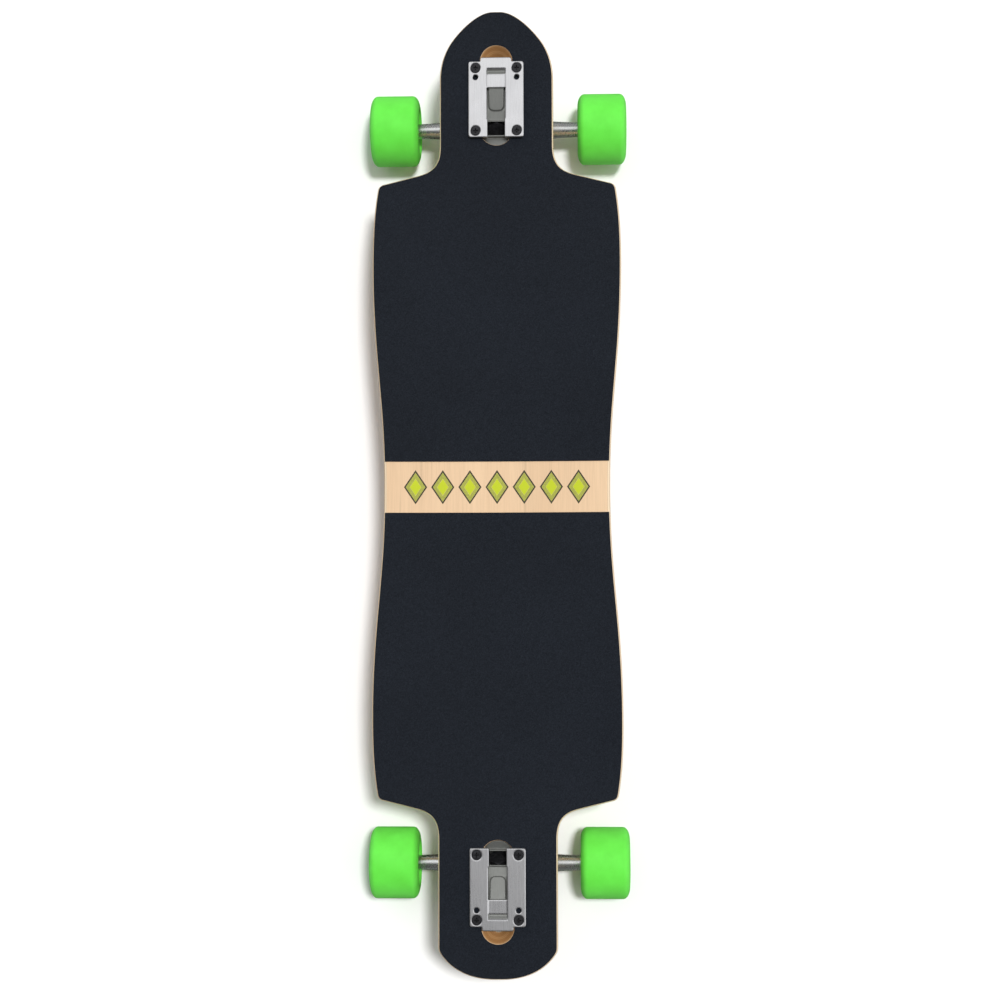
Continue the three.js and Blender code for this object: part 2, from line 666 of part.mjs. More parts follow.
// leftward is the way to the board's left in the truck's own X.
function truck(end, leftward) {
  const group = new THREE.Group();
  const add = (name, geometry, material) => group.add(piece(`${end}_${name}`, geometry, material));
  add('baseplate', baseplate(), castAluminium);
  add('pivot_cup', steering(pivotCup()), cupUrethane);
  add('kingpin', steering(kingpin()), blackSteel);
  const boardBushing = bushing(boardBushingStart, boardBushingStart + boardBushingHeight);
  add('board_bushing', steering(boardBushing), bushingUrethane);
  const roadBushing = bushing(roadBushingEnd - roadBushingHeight, roadBushingEnd);
  add('road_bushing', steering(roadBushing), bushingUrethane);
  const washerBore = kingpinRadius + clearance;
  const washer = (low) => sleeve(washerBore, washerRadius, low, low + washerThickness, 20);
  add('board_washer', steering(washer(boardWasherStart)), brightSteel);
  add('road_washer', steering(washer(roadWasherEnd - washerThickness)), brightSteel);
  const kingpinNut = nut(kingpinNutAcross, washerBore, kingpinNutEnd - kingpinNutHeight, kingpinNutEnd);
  add('kingpin_nut', steering(kingpinNut), brightSteel);
  add('hanger', hanger(), castAluminium);
  const axlePlace = steeringPoint(-axleBack, -axleRake);
  const axle = alongAxle(rod(axleRadius, -axleLength / 2, axleLength / 2, 16));
  add('axle', axle.translate(0, ...axlePlace), brightSteel);
  const nutTop = -deckThickness - clearance;
  for (const [x, y] of boltPlaces) {
    const corner = `${y > 0 ? 'outer' : 'inner'}_${x * leftward > 0 ? 'left' : 'right'}`;
    add(`bolt_${corner}`, deckBolt().translate(x, y, 0), blackSteel);
    const lockNut = nut(deckNutAcross, boltRadius + clearance, nutTop - deckNutHeight, nutTop);
    add(`lock_nut_${corner}`, lockNut.translate(x, y, 0), blackSteel);
  }
  for (const [side, way] of [['left', leftward], ['right', -leftward]]) {
    const corner = new THREE.Group();
    const fit = (name, geometry, material, along) => {
      const mesh = piece(`${end}_${side}_${name}`, geometry, material);
      mesh.position.x = along;
      corner.add(mesh);
    };
    fit('wheel', alongAxle(wheel()), wheelUrethane, wheelOffset);
    fit('inner_bearing', bearing(), shieldSteel, innerBearing);
    fit('outer_bearing', bearing(), shieldSteel, outerBearing);
    fit('bearing_spacer', spacer(), brightSteel, innerBearing + bearingHalf);
    const axleNut = nut(axleNutAcross, axleRadius + clearance, 0, axleNutHeight);
    fit('axle_nut', alongAxle(axleNut), brightSteel, axleNutStart + clearance);
    corner.position.set(0, ...axlePlace);
    corner.rotation.z = way > 0 ? 0 : Math.PI;
    group.add(corner);
  }
  return group;
}

const noseTruck = truck('nose', -1);
noseTruck.position.set(0, plateMiddle, deckTop);
board.add(noseTruck);

const tailTruck = truck('tail', 1);
tailTruck.position.set(0, -plateMiddle, deckTop);
tailTruck.rotation.z = Math.PI;
board.add(tailTruck);

export default board;
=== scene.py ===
"""The finished look of a drop-through longboard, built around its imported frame.

Metres, in the frame's own axes: X to the right, Y to the nose, Z up from the ground.
"""

import json
import math

import bmesh
import bpy
import numpy as np
from mathutils import Matrix, Vector
from mathutils.geometry import delaunay_2d_cdt


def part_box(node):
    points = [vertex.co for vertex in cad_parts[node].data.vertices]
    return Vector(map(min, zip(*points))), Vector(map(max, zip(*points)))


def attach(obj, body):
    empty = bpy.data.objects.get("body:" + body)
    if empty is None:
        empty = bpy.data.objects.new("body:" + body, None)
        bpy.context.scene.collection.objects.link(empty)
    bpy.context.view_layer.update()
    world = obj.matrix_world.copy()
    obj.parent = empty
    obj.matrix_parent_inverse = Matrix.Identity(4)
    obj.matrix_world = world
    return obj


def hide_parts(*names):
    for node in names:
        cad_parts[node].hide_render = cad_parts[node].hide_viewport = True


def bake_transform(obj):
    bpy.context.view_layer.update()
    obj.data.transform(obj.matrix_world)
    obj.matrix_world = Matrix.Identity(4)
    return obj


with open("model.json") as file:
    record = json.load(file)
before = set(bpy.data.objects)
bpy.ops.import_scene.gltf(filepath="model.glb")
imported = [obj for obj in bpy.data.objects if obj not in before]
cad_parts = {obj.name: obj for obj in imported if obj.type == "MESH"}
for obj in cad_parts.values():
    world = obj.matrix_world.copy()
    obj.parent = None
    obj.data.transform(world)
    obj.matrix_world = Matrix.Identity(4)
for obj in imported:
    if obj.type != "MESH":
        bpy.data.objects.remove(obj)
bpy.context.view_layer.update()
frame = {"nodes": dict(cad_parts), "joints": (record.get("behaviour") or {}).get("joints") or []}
MM = 0.001

# ---------- camera ----------
# Two metres over the middle of the board, leaning a little to the tail and to the right.

CAMERA_DISTANCE = 2.0
CAMERA_LEAN = [math.radians(angle) for angle in (-2.99, -2.26, 0.24)]
CAMERA_SHIFT = Vector((-3.16 * MM, 10.55 * MM, 0))
CAMERA_LENS = 72.67
SENSOR = 36.0

plate_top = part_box("nose_baseplate")[1].z


def placed(name, data):
    """An object made of the data, linked to the scene."""
    made = bpy.data.objects.new(name, data)
    bpy.context.scene.collection.objects.link(made)
    return made


lean_x, lean_y, lean_z = CAMERA_LEAN
lean = Matrix.Rotation(lean_z, 3, "Z") @ Matrix.Rotation(lean_y, 3, "Y") @ Matrix.Rotation(lean_x, 3, "X")
camera_turn = lean.transposed()
camera_data = bpy.data.cameras.new("camera")
camera_data.lens = CAMERA_LENS
camera_data.sensor_width = SENSOR
camera = placed("camera", camera_data)
camera_place = camera_turn @ (Vector((0, 0, CAMERA_DISTANCE)) - CAMERA_SHIFT)
camera.matrix_world = Matrix.Translation(camera_place + Vector((0, 0, plate_top))) @ camera_turn.to_4x4()
bpy.context.scene.camera = camera

# ---------- studio ----------
# A white sweep of paper under a soft sun high on the right past the nose. The surround is bright on
# the nose's side, dims at its horizon and falls off to the tail, so flat metal is pale at one end and
# grey at the other. Where metal reflects the paper, the paper is painted dark grey: a painted dark
# reflection. Seen straight, both are white.

FLOOR_HALF = 4.0
PAPER = (0.93, 0.93, 0.93)
PAINTED_REFLECTION_PAPER = (0.13, 0.14, 0.13)
SUN_DIRECTION = (-0.2, -0.15, -1.0)
SUN_STRENGTH = 2.4
SUN_SPREAD = 9
SURROUND_STOPS = ((0.24, 0.1), (0.36, 0.32), (0.5, 0.66), (0.66, 1.05), (0.85, 1.05), (1.0, 0.3))
bpy.context.scene.view_settings.view_transform = "Standard"


def node(tree, kind, inputs=None, **settings):
    """A node with its settings and inputs filled in; an input is a value or another node's socket."""
    made = tree.nodes.new(kind)
    for key, value in settings.items():
        setattr(made, key, value)
    for key, value in (inputs or {}).items():
        if isinstance(value, bpy.types.NodeSocket):
            tree.links.new(value, made.inputs[key])
        else:
            made.inputs[key].default_value = value
    return made


def finish_of(name, color, roughness, metallic=0.0, **others):
    """A material with a principled shader, and its tree and shader for what is added next."""
    material = bpy.data.materials.new(name)
    material.use_nodes = True
    tree = material.node_tree
    shader = tree.nodes["Principled BSDF"]
    shader.inputs["Base Color"].default_value = (*color, 1)
    shader.inputs["Roughness"].default_value = roughness
    shader.inputs["Metallic"].default_value = metallic
    for key, value in others.items():
        shader.inputs[key.replace("_", " ").title().replace("Ior", "IOR")].default_value = value
    return material, tree, shader


def make_floor():
    mesh = bpy.data.meshes.new("paper_sweep")
    h = FLOOR_HALF
    mesh.from_pydata([(-h, -h, 0), (h, -h, 0), (h, h, 0), (-h, h, 0)], [], [(0, 1, 2, 3)])
    floor = placed("paper_sweep", mesh)
    paper, tree, shader = finish_of("white paper with painted reflection", PAPER, 0.9)
    # Painted reflection: glossy rays see the paper painted dark grey, so metal shows it dark; other rays see
    # it white.
    in_reflection = node(tree, "ShaderNodeLightPath").outputs["Is Glossy Ray"]
    shade = mixed(tree, "MIX", in_reflection, PAPER, PAINTED_REFLECTION_PAPER)
    tree.links.new(shade, shader.inputs["Base Color"])
    mesh.materials.append(paper)


def soft_sun(direction, strength, spread):
    """A far light with shadows blurred by its spread in degrees. Only matt surfaces see it."""
    data = bpy.data.lights.new("soft sun", "SUN")
    data.energy = strength
    data.angle = math.radians(spread)
    light = placed("soft sun", data)
    light.rotation_euler = Vector(direction).to_track_quat("-Z", "Y").to_euler()
    light.visible_glossy = False


def ramp(tree, factor, *stops):
    """A colour ramp from (position, colour) stops; a colour is grey where it is one number."""
    made = node(tree, "ShaderNodeValToRGB", {"Fac": factor})
    elements = made.color_ramp.elements
    while len(elements) < len(stops):
        elements.new(0.5)
    for element, (position, color) in zip(elements, stops):
        element.position = position
        element.color = (color, color, color, 1) if isinstance(color, float) else (*color, 1)
    return made.outputs["Color"]


def mixed(tree, kind, factor, a, b):
    """Two colours blended, multiplied or otherwise mixed."""
    made = node(tree, "ShaderNodeMix", data_type="RGBA", blend_type=kind)
    for index, value in ((0, factor), (6, a), (7, b)):
        if isinstance(value, bpy.types.NodeSocket):
            tree.links.new(value, made.inputs[index])
        else:
            made.inputs[index].default_value = value if index == 0 else (*value, 1)
    return made.outputs[2]


def maths(tree, operation, *values):
    made = node(tree, "ShaderNodeMath", operation=operation)
    for index, value in enumerate(values):
        if isinstance(value, bpy.types.NodeSocket):
            tree.links.new(value, made.inputs[index])
        else:
            made.inputs[index].default_value = value
    return made.outputs[0]


def graded_surround():
    world = bpy.data.worlds.new("graded surround")
    world.use_nodes = True
    tree = world.node_tree
    place = node(tree, "ShaderNodeTexCoord")
    along = node(tree, "ShaderNodeVectorMath", {0: place.outputs["Generated"], 1: (0.3, 0.8, 0.0)},
                 operation="DOT_PRODUCT")
    light = ramp(tree, maths(tree, "ADD", along.outputs["Value"], 0.5), *SURROUND_STOPS)
    seen = node(tree, "ShaderNodeLightPath").outputs["Is Camera Ray"]
    backdrop = mixed(tree, "MIX", seen, light, (1.0, 1.0, 1.0))
    tree.links.new(backdrop, tree.nodes["Background"].inputs["Color"])
    bpy.context.scene.world = world


make_floor()
soft_sun(SUN_DIRECTION, SUN_STRENGTH, SUN_SPREAD)
graded_surround()

# ---------- deck ----------
# Eight maple veneers pressed into a shallow trough, cut to a waisted outline with necks that clear
# the wheels, and routed for the two trucks. The rim is rounded over and lacquered.

TRUCK_SPACING = 782.8 * MM
OVERHANG = 91 * MM
HIP_WIDTH = 248.4 * MM
WAIST_WIDTH = 224.4 * MM
SHOULDER_WIDTH = 239 * MM
NOSE_NECK_WIDTH = 114 * MM
TAIL_NECK_WIDTH = 118 * MM
TIP_WIDTH = 8 * MM
HIP_SETBACK = 159.4 * MM
CORNER_SETBACK = 90 * MM
CORNER_RADIUS = 6.5 * MM
SHOULDER_SLOPE = 0.25
NECK_SETBACK = 45.5 * MM
DECK_THICKNESS = 11 * MM
CONCAVE_RISE = 6 * MM
CONCAVE_HALF_WIDTH = 120 * MM
CONCAVE_FADE = 110 * MM
SLOT_WIDTH = 32 * MM
SLOT_LENGTH = 101.6 * MM
SLOT_CENTRE = 5.2 * MM
BOLT_ACROSS = 41.275 * MM
BOLT_ALONG = 63.5 * MM
BOLT_HOLE = 2.75 * MM
RIM_RADIUS = 3 * MM
RAMP_RADIUS = 6 * MM
EDGE_STEP = 3 * MM
PLIES = 8

plate_middle = TRUCK_SPACING / 2
deck_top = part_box("deck")[0].z + DECK_THICKNESS


def bend(points, step=EDGE_STEP):
    """Points along a Bezier curve after its first point, about one step apart."""
    control = np.array(points, float)
    length = np.linalg.norm(np.diff(control, axis=0), axis=1).sum()
    count = max(4, round(length / step))
    found = []
    for t in np.linspace(0, 1, count + 1)[1:]:
        stage = control
        while len(stage) > 1:
            stage = stage[:-1] * (1 - t) + stage[1:] * t
        found.append(tuple(stage[0]))
    return found


def straight(start, end, step=EDGE_STEP):
    """Points along a straight line after its first point."""
    count = max(1, round(math.dist(start, end) / step))
    return [tuple(np.array(start) + (np.array(end) - start) * i / count) for i in range(1, count + 1)]


def edge_of_end(neck, tip_bends):
    """The deck's right edge from the waist to one tip, with Y counted outward."""
    waist, hip, shoulder = WAIST_WIDTH / 2, HIP_WIDTH / 2, SHOULDER_WIDTH / 2
    hip_y = plate_middle - HIP_SETBACK
    corner_y = plate_middle - CORNER_SETBACK
    neck_y = plate_middle - NECK_SETBACK
    past = (shoulder - CORNER_RADIUS, corner_y + CORNER_RADIUS)
    run = (past[0] - neck) * 0.6
    fillet = (past[0] - run, past[1] + run * SHOULDER_SLOPE)
    rise = neck_y - fillet[1]
    third = (corner_y - hip_y) / 3
    turn = (shoulder - 1 * MM, corner_y + CORNER_RADIUS - 1 * MM)
    swell = (shoulder + 3.9 * MM, corner_y - third)
    sweep = (fillet[0] - 0.5 * rise, fillet[1] + 0.5 * rise * SHOULDER_SLOPE)
    edge = [(waist, 0.0)]
    edge += bend([(waist, 0), (waist, hip_y * 0.4), (hip, hip_y * 0.56), (hip, hip_y)])
    edge += bend([(hip, hip_y), (hip, hip_y + third), swell, (shoulder, corner_y)])
    edge += bend([(shoulder, corner_y), turn, past], 1.2 * MM)
    edge += straight(past, fillet)
    edge += bend([fillet, sweep, (neck, neck_y - 0.66 * rise), (neck, neck_y)], 2 * MM)
    for control in tip_bends(neck):
        edge += bend([edge[-1]] + control)
    return edge


def nose_bends(neck):
    """A pointed arch."""
    tip = plate_middle + OVERHANG
    spring = tip - 70 * MM
    bend_x, bend_y = neck * 0.75, tip - 27 * MM
    return [
        [(neck, spring)],
        [(neck, spring + 18 * MM), (bend_x + 9 * MM, bend_y - 11.4 * MM), (bend_x, bend_y)],
        [(bend_x - 14 * MM, bend_y + 17.7 * MM), (neck * 0.25, tip), (TIP_WIDTH / 2, tip)],
    ]


def tail_bends(neck):
    """A blunt round end with a slight corner at each side."""
    tip = plate_middle + OVERHANG
    spring = tip - 30 * MM
    return [
        [(neck, spring - 2 * MM)],
        [(neck, spring + 1.5 * MM), (neck * 0.975, spring + 4 * MM)],
        [(neck * 0.85, spring + 16 * MM), (neck * 0.57, tip), (TIP_WIDTH / 2, tip)],
    ]


nose_edge = edge_of_end(NOSE_NECK_WIDTH / 2, nose_bends)
tail_edge = [(x, -y) for x, y in edge_of_end(TAIL_NECK_WIDTH / 2, tail_bends)]
right_edge = tail_edge[:0:-1] + nose_edge


def both_sides(edge):
    """A closed outline from its right side, which runs from tail to nose."""
    return edge + [(-x, y) for x, y in reversed(edge)]


def inset(outline, margin):
    """An outline moved inward, square to itself."""
    here = np.array(outline)
    along = np.roll(here, -1, axis=0) - np.roll(here, 1, axis=0)
    along /= np.linalg.norm(along, axis=1)[:, None]
    return [tuple(p) for p in here + margin * np.stack([-along[:, 1], along[:, 0]], axis=1)]


def stadium(width, length, middle, steps=20):
    """A slot's outline with round ends, its length along Y."""
    radius = width / 2
    reach = length / 2 - radius
    half = [math.pi * i / steps for i in range(steps + 1)]
    top = [(radius * math.cos(a), middle + reach + radius * math.sin(a)) for a in half]
    return top + [(-x, 2 * middle - y) for x, y in top]


def circle(radius, x, y, steps=20):
    turns = [2 * math.pi * i / steps for i in range(steps)]
    return [(x + radius * math.cos(a), y + radius * math.sin(a)) for a in turns]


def concave(x, y):
    """How far the deck's top face stands above its centre line. It is flat past the shoulders."""
    inward = np.clip((plate_middle - CORNER_SETBACK - np.abs(y)) / CONCAVE_FADE, 0, 1)
    return CONCAVE_RISE * inward * inward * (3 - 2 * inward) * (x / CONCAVE_HALF_WIDTH) ** 2


def inside(loops, point):
    """Whether a point lies within an odd number of closed outlines."""
    odd = False
    for loop in loops:
        ends = np.array(loop)
        nexts = np.roll(ends, -1, axis=0)
        spans = (ends[:, 1] > point.y) != (nexts[:, 1] > point.y)
        (x0, y0), (x1, y1) = ends[spans].T, nexts[spans].T
        odd ^= bool(np.count_nonzero(x0 + (point.y - y0) / (y1 - y0) * (x1 - x0) > point.x) % 2)
    return odd


def closed_mesh(name, work):
    """The plain mesh of a closed body, every face turned outward."""
    bmesh.ops.recalc_face_normals(work, faces=work.faces)
    data = bpy.data.meshes.new(name)
    work.to_mesh(data)
    work.free()
    return data


def pressed_sheet(name, rings, holes, spacing=11 * MM):
    """A sheet that follows the deck's trough.

    Rings run round the rim from the top face to the underside, each an outline and its depth under
    the deck's top face. Holes go straight through. The depth is kept as an attribute for the plies.
    """
    loops = [rings[0][0]] + holes
    rim = np.array([point for loop in loops for point in loop])
    low, high = rim.min(0), rim.max(0)
    xs = np.arange(low[0], high[0], spacing)
    ys = np.arange(low[1], high[1], spacing)
    lattice = np.array([(x, y) for y in ys for x in xs])
    near = np.array([((rim - p) ** 2).sum(1).min() for p in lattice]) < (spacing * 0.45) ** 2
    flat = [Vector(p) for p in np.vstack([rim, lattice[~near]])]
    edges, start = [], 0
    for loop in loops:
        count = len(loop)
        edges += [(start + i, start + (i + 1) % count) for i in range(count)]
        start += count
    found, _, faces, origins, _, _ = delaunay_2d_cdt(flat, edges, [], 0, 1e-9)
    faces = [face for face in faces if inside(loops, sum((found[i] for i in face), Vector((0, 0))) / 3)]
    place = {old: new for new, olds in enumerate(origins) for old in olds}
    mesh = bmesh.new()
    ply = mesh.verts.layers.float.new("ply")
    total = rings[-1][1] - rings[0][1]

    def put(x, y, depth):
        vert = mesh.verts.new((x, y, deck_top + float(concave(x, y)) - depth))
        vert[ply] = (depth - rings[0][1]) / total
        return vert

    top = [put(p.x, p.y, rings[0][1]) for p in found]
    bottom = [put(p.x, p.y, rings[-1][1]) for p in found]
    for face in faces:
        mesh.faces.new([top[i] for i in face])
        mesh.faces.new([bottom[i] for i in reversed(face)])
    count = len(rings[0][0])
    layers = [[top[place[i]] for i in range(count)]]
    layers += [[put(x, y, depth) for x, y in outline] for outline, depth in rings[1:-1]]
    layers += [[bottom[place[i]] for i in range(count)]]
    for upper, lower in zip(layers, layers[1:]):
        for i in range(count):
            j = (i + 1) % count
            mesh.faces.new([upper[j], upper[i], lower[i], lower[j]])
    start = count
    for loop in holes:
        ids = [place[start + i] for i in range(len(loop))]
        for a, b in zip(ids, ids[1:] + ids[:1]):
            mesh.faces.new([top[b], top[a], bottom[a], bottom[b]])
        start += len(loop)
    return closed_mesh(name, mesh)


def joined(meshes):
    """Several meshes as one."""
    work = bmesh.new()
    for mesh in meshes:
        work.from_mesh(mesh)
    whole = bpy.data.meshes.new("joined")
    work.to_mesh(whole)
    work.free()
    return whole


def add_piece(name, data, material, sharp=35):
    """A finished mesh as an object at the origin, smooth except where it turns sharply."""
    data.name = name
    data.materials.clear()
    data.materials.append(material)
    data.shade_smooth()
    data.set_sharp_from_angle(angle=math.radians(sharp))
    return placed(name, data)


def settle(made, body, slot, *nodes):
    """Says what a piece moves with and which plain nodes it stands for; the slot is not used."""
    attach(made, body)
    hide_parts(*nodes)


def object_coordinates(tree, scale):
    """Coordinates fixed to the piece, stretched by a scale for each axis."""
    place = node(tree, "ShaderNodeTexCoord").outputs["Object"]
    return node(tree, "ShaderNodeMapping", {"Vector": place, "Scale": scale}).outputs["Vector"]


def noise(tree, stretch=(1, 1, 1), scale=1.0, detail=2.0, **others):
    """Cloudy noise fixed to the piece."""
    inputs = {"Vector": object_coordinates(tree, stretch), "Scale": scale, "Detail": detail}
    return node(tree, "ShaderNodeTexNoise", inputs | others).outputs["Fac"]


def bumped(tree, shader, height, strength, distance):
    made = node(tree, "ShaderNodeBump", {"Height": height, "Strength": strength, "Distance": distance})
    tree.links.new(made.outputs["Normal"], shader.inputs["Normal"])


def maple_finish():
    """Pale maple: fine long grain, brown mineral streaks, bands of plies on cut edges, raw wood darker."""
    material, tree, shader = finish_of("lacquered maple", (0.8, 0.6, 0.4), 0.42, coat_weight=0.25)
    shader.inputs["Coat Roughness"].default_value = 0.2
    broad = noise(tree, (34, 2.6, 20), detail=3.0, Distortion=0.4)
    fine = noise(tree, (900, 26, 900))
    streak = noise(tree, (150, 4.5, 60), Distortion=0.6)
    base = ramp(tree, broad, (0.3, (0.71, 0.49, 0.3)), (0.7, (0.8, 0.57, 0.36)))
    grain = ramp(tree, fine, (0.32, 0.93), (0.6, 1.0))
    lines = ramp(tree, streak, (0.64, 1.0), (0.73, 0.84), (0.8, 0.98))
    wood = mixed(tree, "MULTIPLY", 1.0, mixed(tree, "MULTIPLY", 1.0, base, grain), lines)
    depth = node(tree, "ShaderNodeAttribute", attribute_name="ply").outputs["Fac"]
    count = maths(tree, "MULTIPLY", depth, float(PLIES))
    crossed = maths(tree, "GREATER_THAN", maths(tree, "PINGPONG", count, 2.0), 1.0)
    within = maths(tree, "FRACT", count)
    from_joint = maths(tree, "MINIMUM", within, maths(tree, "SUBTRACT", 1.0, within))
    glue = maths(tree, "LESS_THAN", from_joint, 0.07)
    below_top = maths(tree, "GREATER_THAN", depth, 0.004)
    cut = maths(tree, "MULTIPLY", below_top, maths(tree, "LESS_THAN", depth, 0.996))
    raw = node(tree, "ShaderNodeAttribute", attribute_name="raw").outputs["Fac"]
    edge = mixed(tree, "MIX", maths(tree, "MULTIPLY", cut, 0.55), wood, (0.86, 0.74, 0.55))
    shaded = mixed(tree, "MULTIPLY", raw, edge, (0.5, 0.34, 0.2))
    banded = mixed(tree, "MULTIPLY", maths(tree, "MULTIPLY", crossed, cut), shaded, (0.84, 0.78, 0.7))
    lined = mixed(tree, "MULTIPLY", maths(tree, "MULTIPLY", glue, cut), banded, (0.62, 0.52, 0.42))
    tree.links.new(lined, shader.inputs["Base Color"])
    bumped(tree, shader, fine, 0.12, 0.0002)
    return material


def rounded_rim(outline, thickness, radius, steps=4):
    """Rings that round a sheet's rim over, top and bottom."""
    turns = [math.pi / 2 * i / steps for i in range(steps + 1)]
    upper = [(radius * (1 - math.sin(a)), radius * (1 - math.cos(a))) for a in turns]
    lower = [(margin, thickness - depth) for margin, depth in reversed(upper)]
    return [(inset(outline, margin), depth) for margin, depth in upper + lower]


def truck_holes(slot_spare=0.0, with_bolts=True):
    """The holes that both trucks need, as outlines."""
    holes = []
    for end in (1, -1):
        middle = end * plate_middle
        centre = middle + end * SLOT_CENTRE
        holes.append(stadium(SLOT_WIDTH + slot_spare, SLOT_LENGTH + slot_spare, centre))
        for x in (-BOLT_ACROSS / 2, BOLT_ACROSS / 2):
            for y in (-BOLT_ALONG / 2, BOLT_ALONG / 2):
                if with_bolts:
                    holes.append(circle(BOLT_HOLE, x, middle + y))
    return holes


def slot_ramp(end, steps=40, layers=12):
    """The cone left at a slot's outer end, cut through the plies down to a small hole."""
    turns = [math.pi * i / steps for i in range(steps + 1)]
    wide, narrow = SLOT_WIDTH / 2, RAMP_RADIUS
    rings = [(wide - (wide - narrow) * i / layers, DECK_THICKNESS * i / layers) for i in range(layers + 1)]
    rings.append((wide, DECK_THICKNESS))
    middle = end * (plate_middle + SLOT_CENTRE + SLOT_LENGTH / 2 - wide)
    mesh = bmesh.new()
    ply = mesh.verts.layers.float.new("ply")
    raw = mesh.verts.layers.float.new("raw")
    rows = []
    for radius, depth in rings:
        row = []
        for turn in turns:
            place = (radius * math.cos(turn), middle + end * radius * math.sin(turn), deck_top - depth)
            row.append(mesh.verts.new(place))
            row[-1][ply] = min(max(depth / DECK_THICKNESS, 0.01), 0.99)
            row[-1][raw] = 1.0
        rows.append(row)
    for upper, lower in zip(rows, rows[1:] + rows[:1]):
        for i in range(steps):
            mesh.faces.new([upper[i], upper[i + 1], lower[i + 1], lower[i]])
    for i in (0, -1):
        mesh.faces.new([row[i] for row in rows])
    return closed_mesh("slot_ramp", mesh)


maple = maple_finish()
outline = both_sides(right_edge)
deck_mesh = pressed_sheet("maple_deck", rounded_rim(outline, DECK_THICKNESS, RIM_RADIUS), truck_holes())
deck_mesh = joined([deck_mesh, slot_ramp(1), slot_ramp(-1)])
maple_deck = add_piece("maple_deck", deck_mesh, maple)
settle(maple_deck, "board", "maple", "deck")

# ---------- grit tape ----------
# Two sheets of mineral grit on film, stuck on the deck and trimmed just inside its rim. They stop
# square on either side of the bare strip.

TAPE_TOP = 1.03 * MM
TAPE_BOTTOM = 0.02 * MM
TAPE_MARGIN = 1.25 * MM
TAPE_ROUND = 0.25 * MM
TAPE_STEP = 8 * MM
SLOT_SPARE = 0.6 * MM
BOARD_END = 1.0
STRIP_LOW = -22.7 * MM
STRIP_HIGH = 28.1 * MM


def grit_finish():
    """Blue-black grit: every grain its own facet, a few of them bright."""
    material, tree, shader = finish_of("mineral grit", (0.01, 0.012, 0.014), 0.9, specular_ior_level=0.3)
    place = object_coordinates(tree, (1, 1, 1))
    grain = node(tree, "ShaderNodeTexVoronoi", {"Vector": place, "Scale": 1500.0})
    shade = ramp(tree, grain.outputs["Color"], (0.1, (0.005, 0.007, 0.011)), (0.9, (0.014, 0.018, 0.026)))
    patch = ramp(tree, noise(tree, scale=9.0, detail=5.0), (0.3, 0.84), (0.7, 1.0))
    tree.links.new(mixed(tree, "MULTIPLY", 1.0, shade, patch), shader.inputs["Base Color"])
    glint = ramp(tree, grain.outputs["Color"], (0.0, 0.76), (0.86, 0.66), (0.97, 0.45))
    tree.links.new(glint, shader.inputs["Roughness"])
    bumped(tree, shader, grain.outputs["Distance"], 0.75, 0.0004)
    return material


def tape_outline(low, high):
    """The tape's closed outline between two places along the board."""
    trimmed = inset(outline, TAPE_MARGIN)[:len(right_edge)]
    xs, ys = np.array(trimmed).T
    right = [point for point in trimmed if low < point[1] < high]
    if low > ys[0]:
        right.insert(0, (float(np.interp(low, ys, xs)), low))
    if high < ys[-1]:
        right.append((float(np.interp(high, ys, xs)), high))
    left = [(-x, y) for x, y in reversed(right)]
    over = straight(right[-1], left[0], TAPE_STEP)[:-1]
    back = straight(left[-1], right[0], TAPE_STEP)[:-1]
    return right + over + left + back


grit = grit_finish()
tape_holes = truck_holes(SLOT_SPARE, False)
for name, low, high, hole in (
    ("nose_grit_sheet", STRIP_HIGH, BOARD_END, tape_holes[0]),
    ("tail_grit_sheet", -BOARD_END, STRIP_LOW, tape_holes[1]),
):
    edge = tape_outline(low, high)
    rings = [(inset(edge, TAPE_ROUND), -TAPE_TOP), (edge, -TAPE_TOP + TAPE_ROUND), (edge, -TAPE_BOTTOM)]
    sheet = add_piece(name, pressed_sheet(name, rings, [hole]), grit, 25)
    settle(sheet, "board", "grit_tape", name.replace("_grit_sheet", "_griptape"))

# ---------- strip motif ----------
# Ink printed on the bare strip: a plain row of lozenges, lime inside olive inside a dark line.

LOZENGES = 7
LOZENGE_PITCH = 27 * MM
LOZENGE_WIDTH = 23 * MM
LOZENGE_HEIGHT = 34 * MM
INK_TOP = 0.06 * MM


def tree_of(name, sockets):
    """An empty geometry tree with named inputs and one geometry output."""
    tree = bpy.data.node_groups.new(name, "GeometryNodeTree")
    tree.interface.new_socket("Geometry", in_out="OUTPUT", socket_type="NodeSocketGeometry")
    for label, kind in sockets:
        tree.interface.new_socket(label, in_out="INPUT", socket_type=f"NodeSocket{kind}")
    return tree, tree.nodes.new("NodeGroupInput").outputs, tree.nodes.new("NodeGroupOutput")


def finish_tree(tree, given, out, points, rotation=None):
    """Puts the given piece on the points, then realises and paints it."""
    piece = node(tree, "GeometryNodeObjectInfo", {"Object": given["Piece"]})
    inputs = {"Points": points, "Instance": piece.outputs["Geometry"]}
    if rotation is not None:
        inputs["Rotation"] = rotation
    spread = node(tree, "GeometryNodeInstanceOnPoints", inputs)
    real = node(tree, "GeometryNodeRealizeInstances", {"Geometry": spread.outputs["Instances"]})
    painted = node(tree, "GeometryNodeSetMaterial", {
        "Geometry": real.outputs["Geometry"], "Material": given["Finish"]})
    tree.links.new(painted.outputs["Geometry"], out.inputs["Geometry"])
    return tree


def row_tree():
    """A row of copies along X about the origin."""
    tree, given, out = tree_of("row", (("Piece", "Object"), ("Count", "Int"), ("Pitch", "Float"),
                                       ("Finish", "Material")))
    gaps = maths(tree, "SUBTRACT", given["Count"], 1.0)
    start = maths(tree, "MULTIPLY", maths(tree, "MULTIPLY", gaps, given["Pitch"]), -0.5)
    first = node(tree, "ShaderNodeCombineXYZ", {"X": start})
    step = node(tree, "ShaderNodeCombineXYZ", {"X": given["Pitch"]})
    line = node(tree, "GeometryNodeMeshLine", {
        "Count": given["Count"], "Start Location": first.outputs[0], "Offset": step.outputs[0]})
    return finish_tree(tree, given, out, line.outputs["Mesh"])


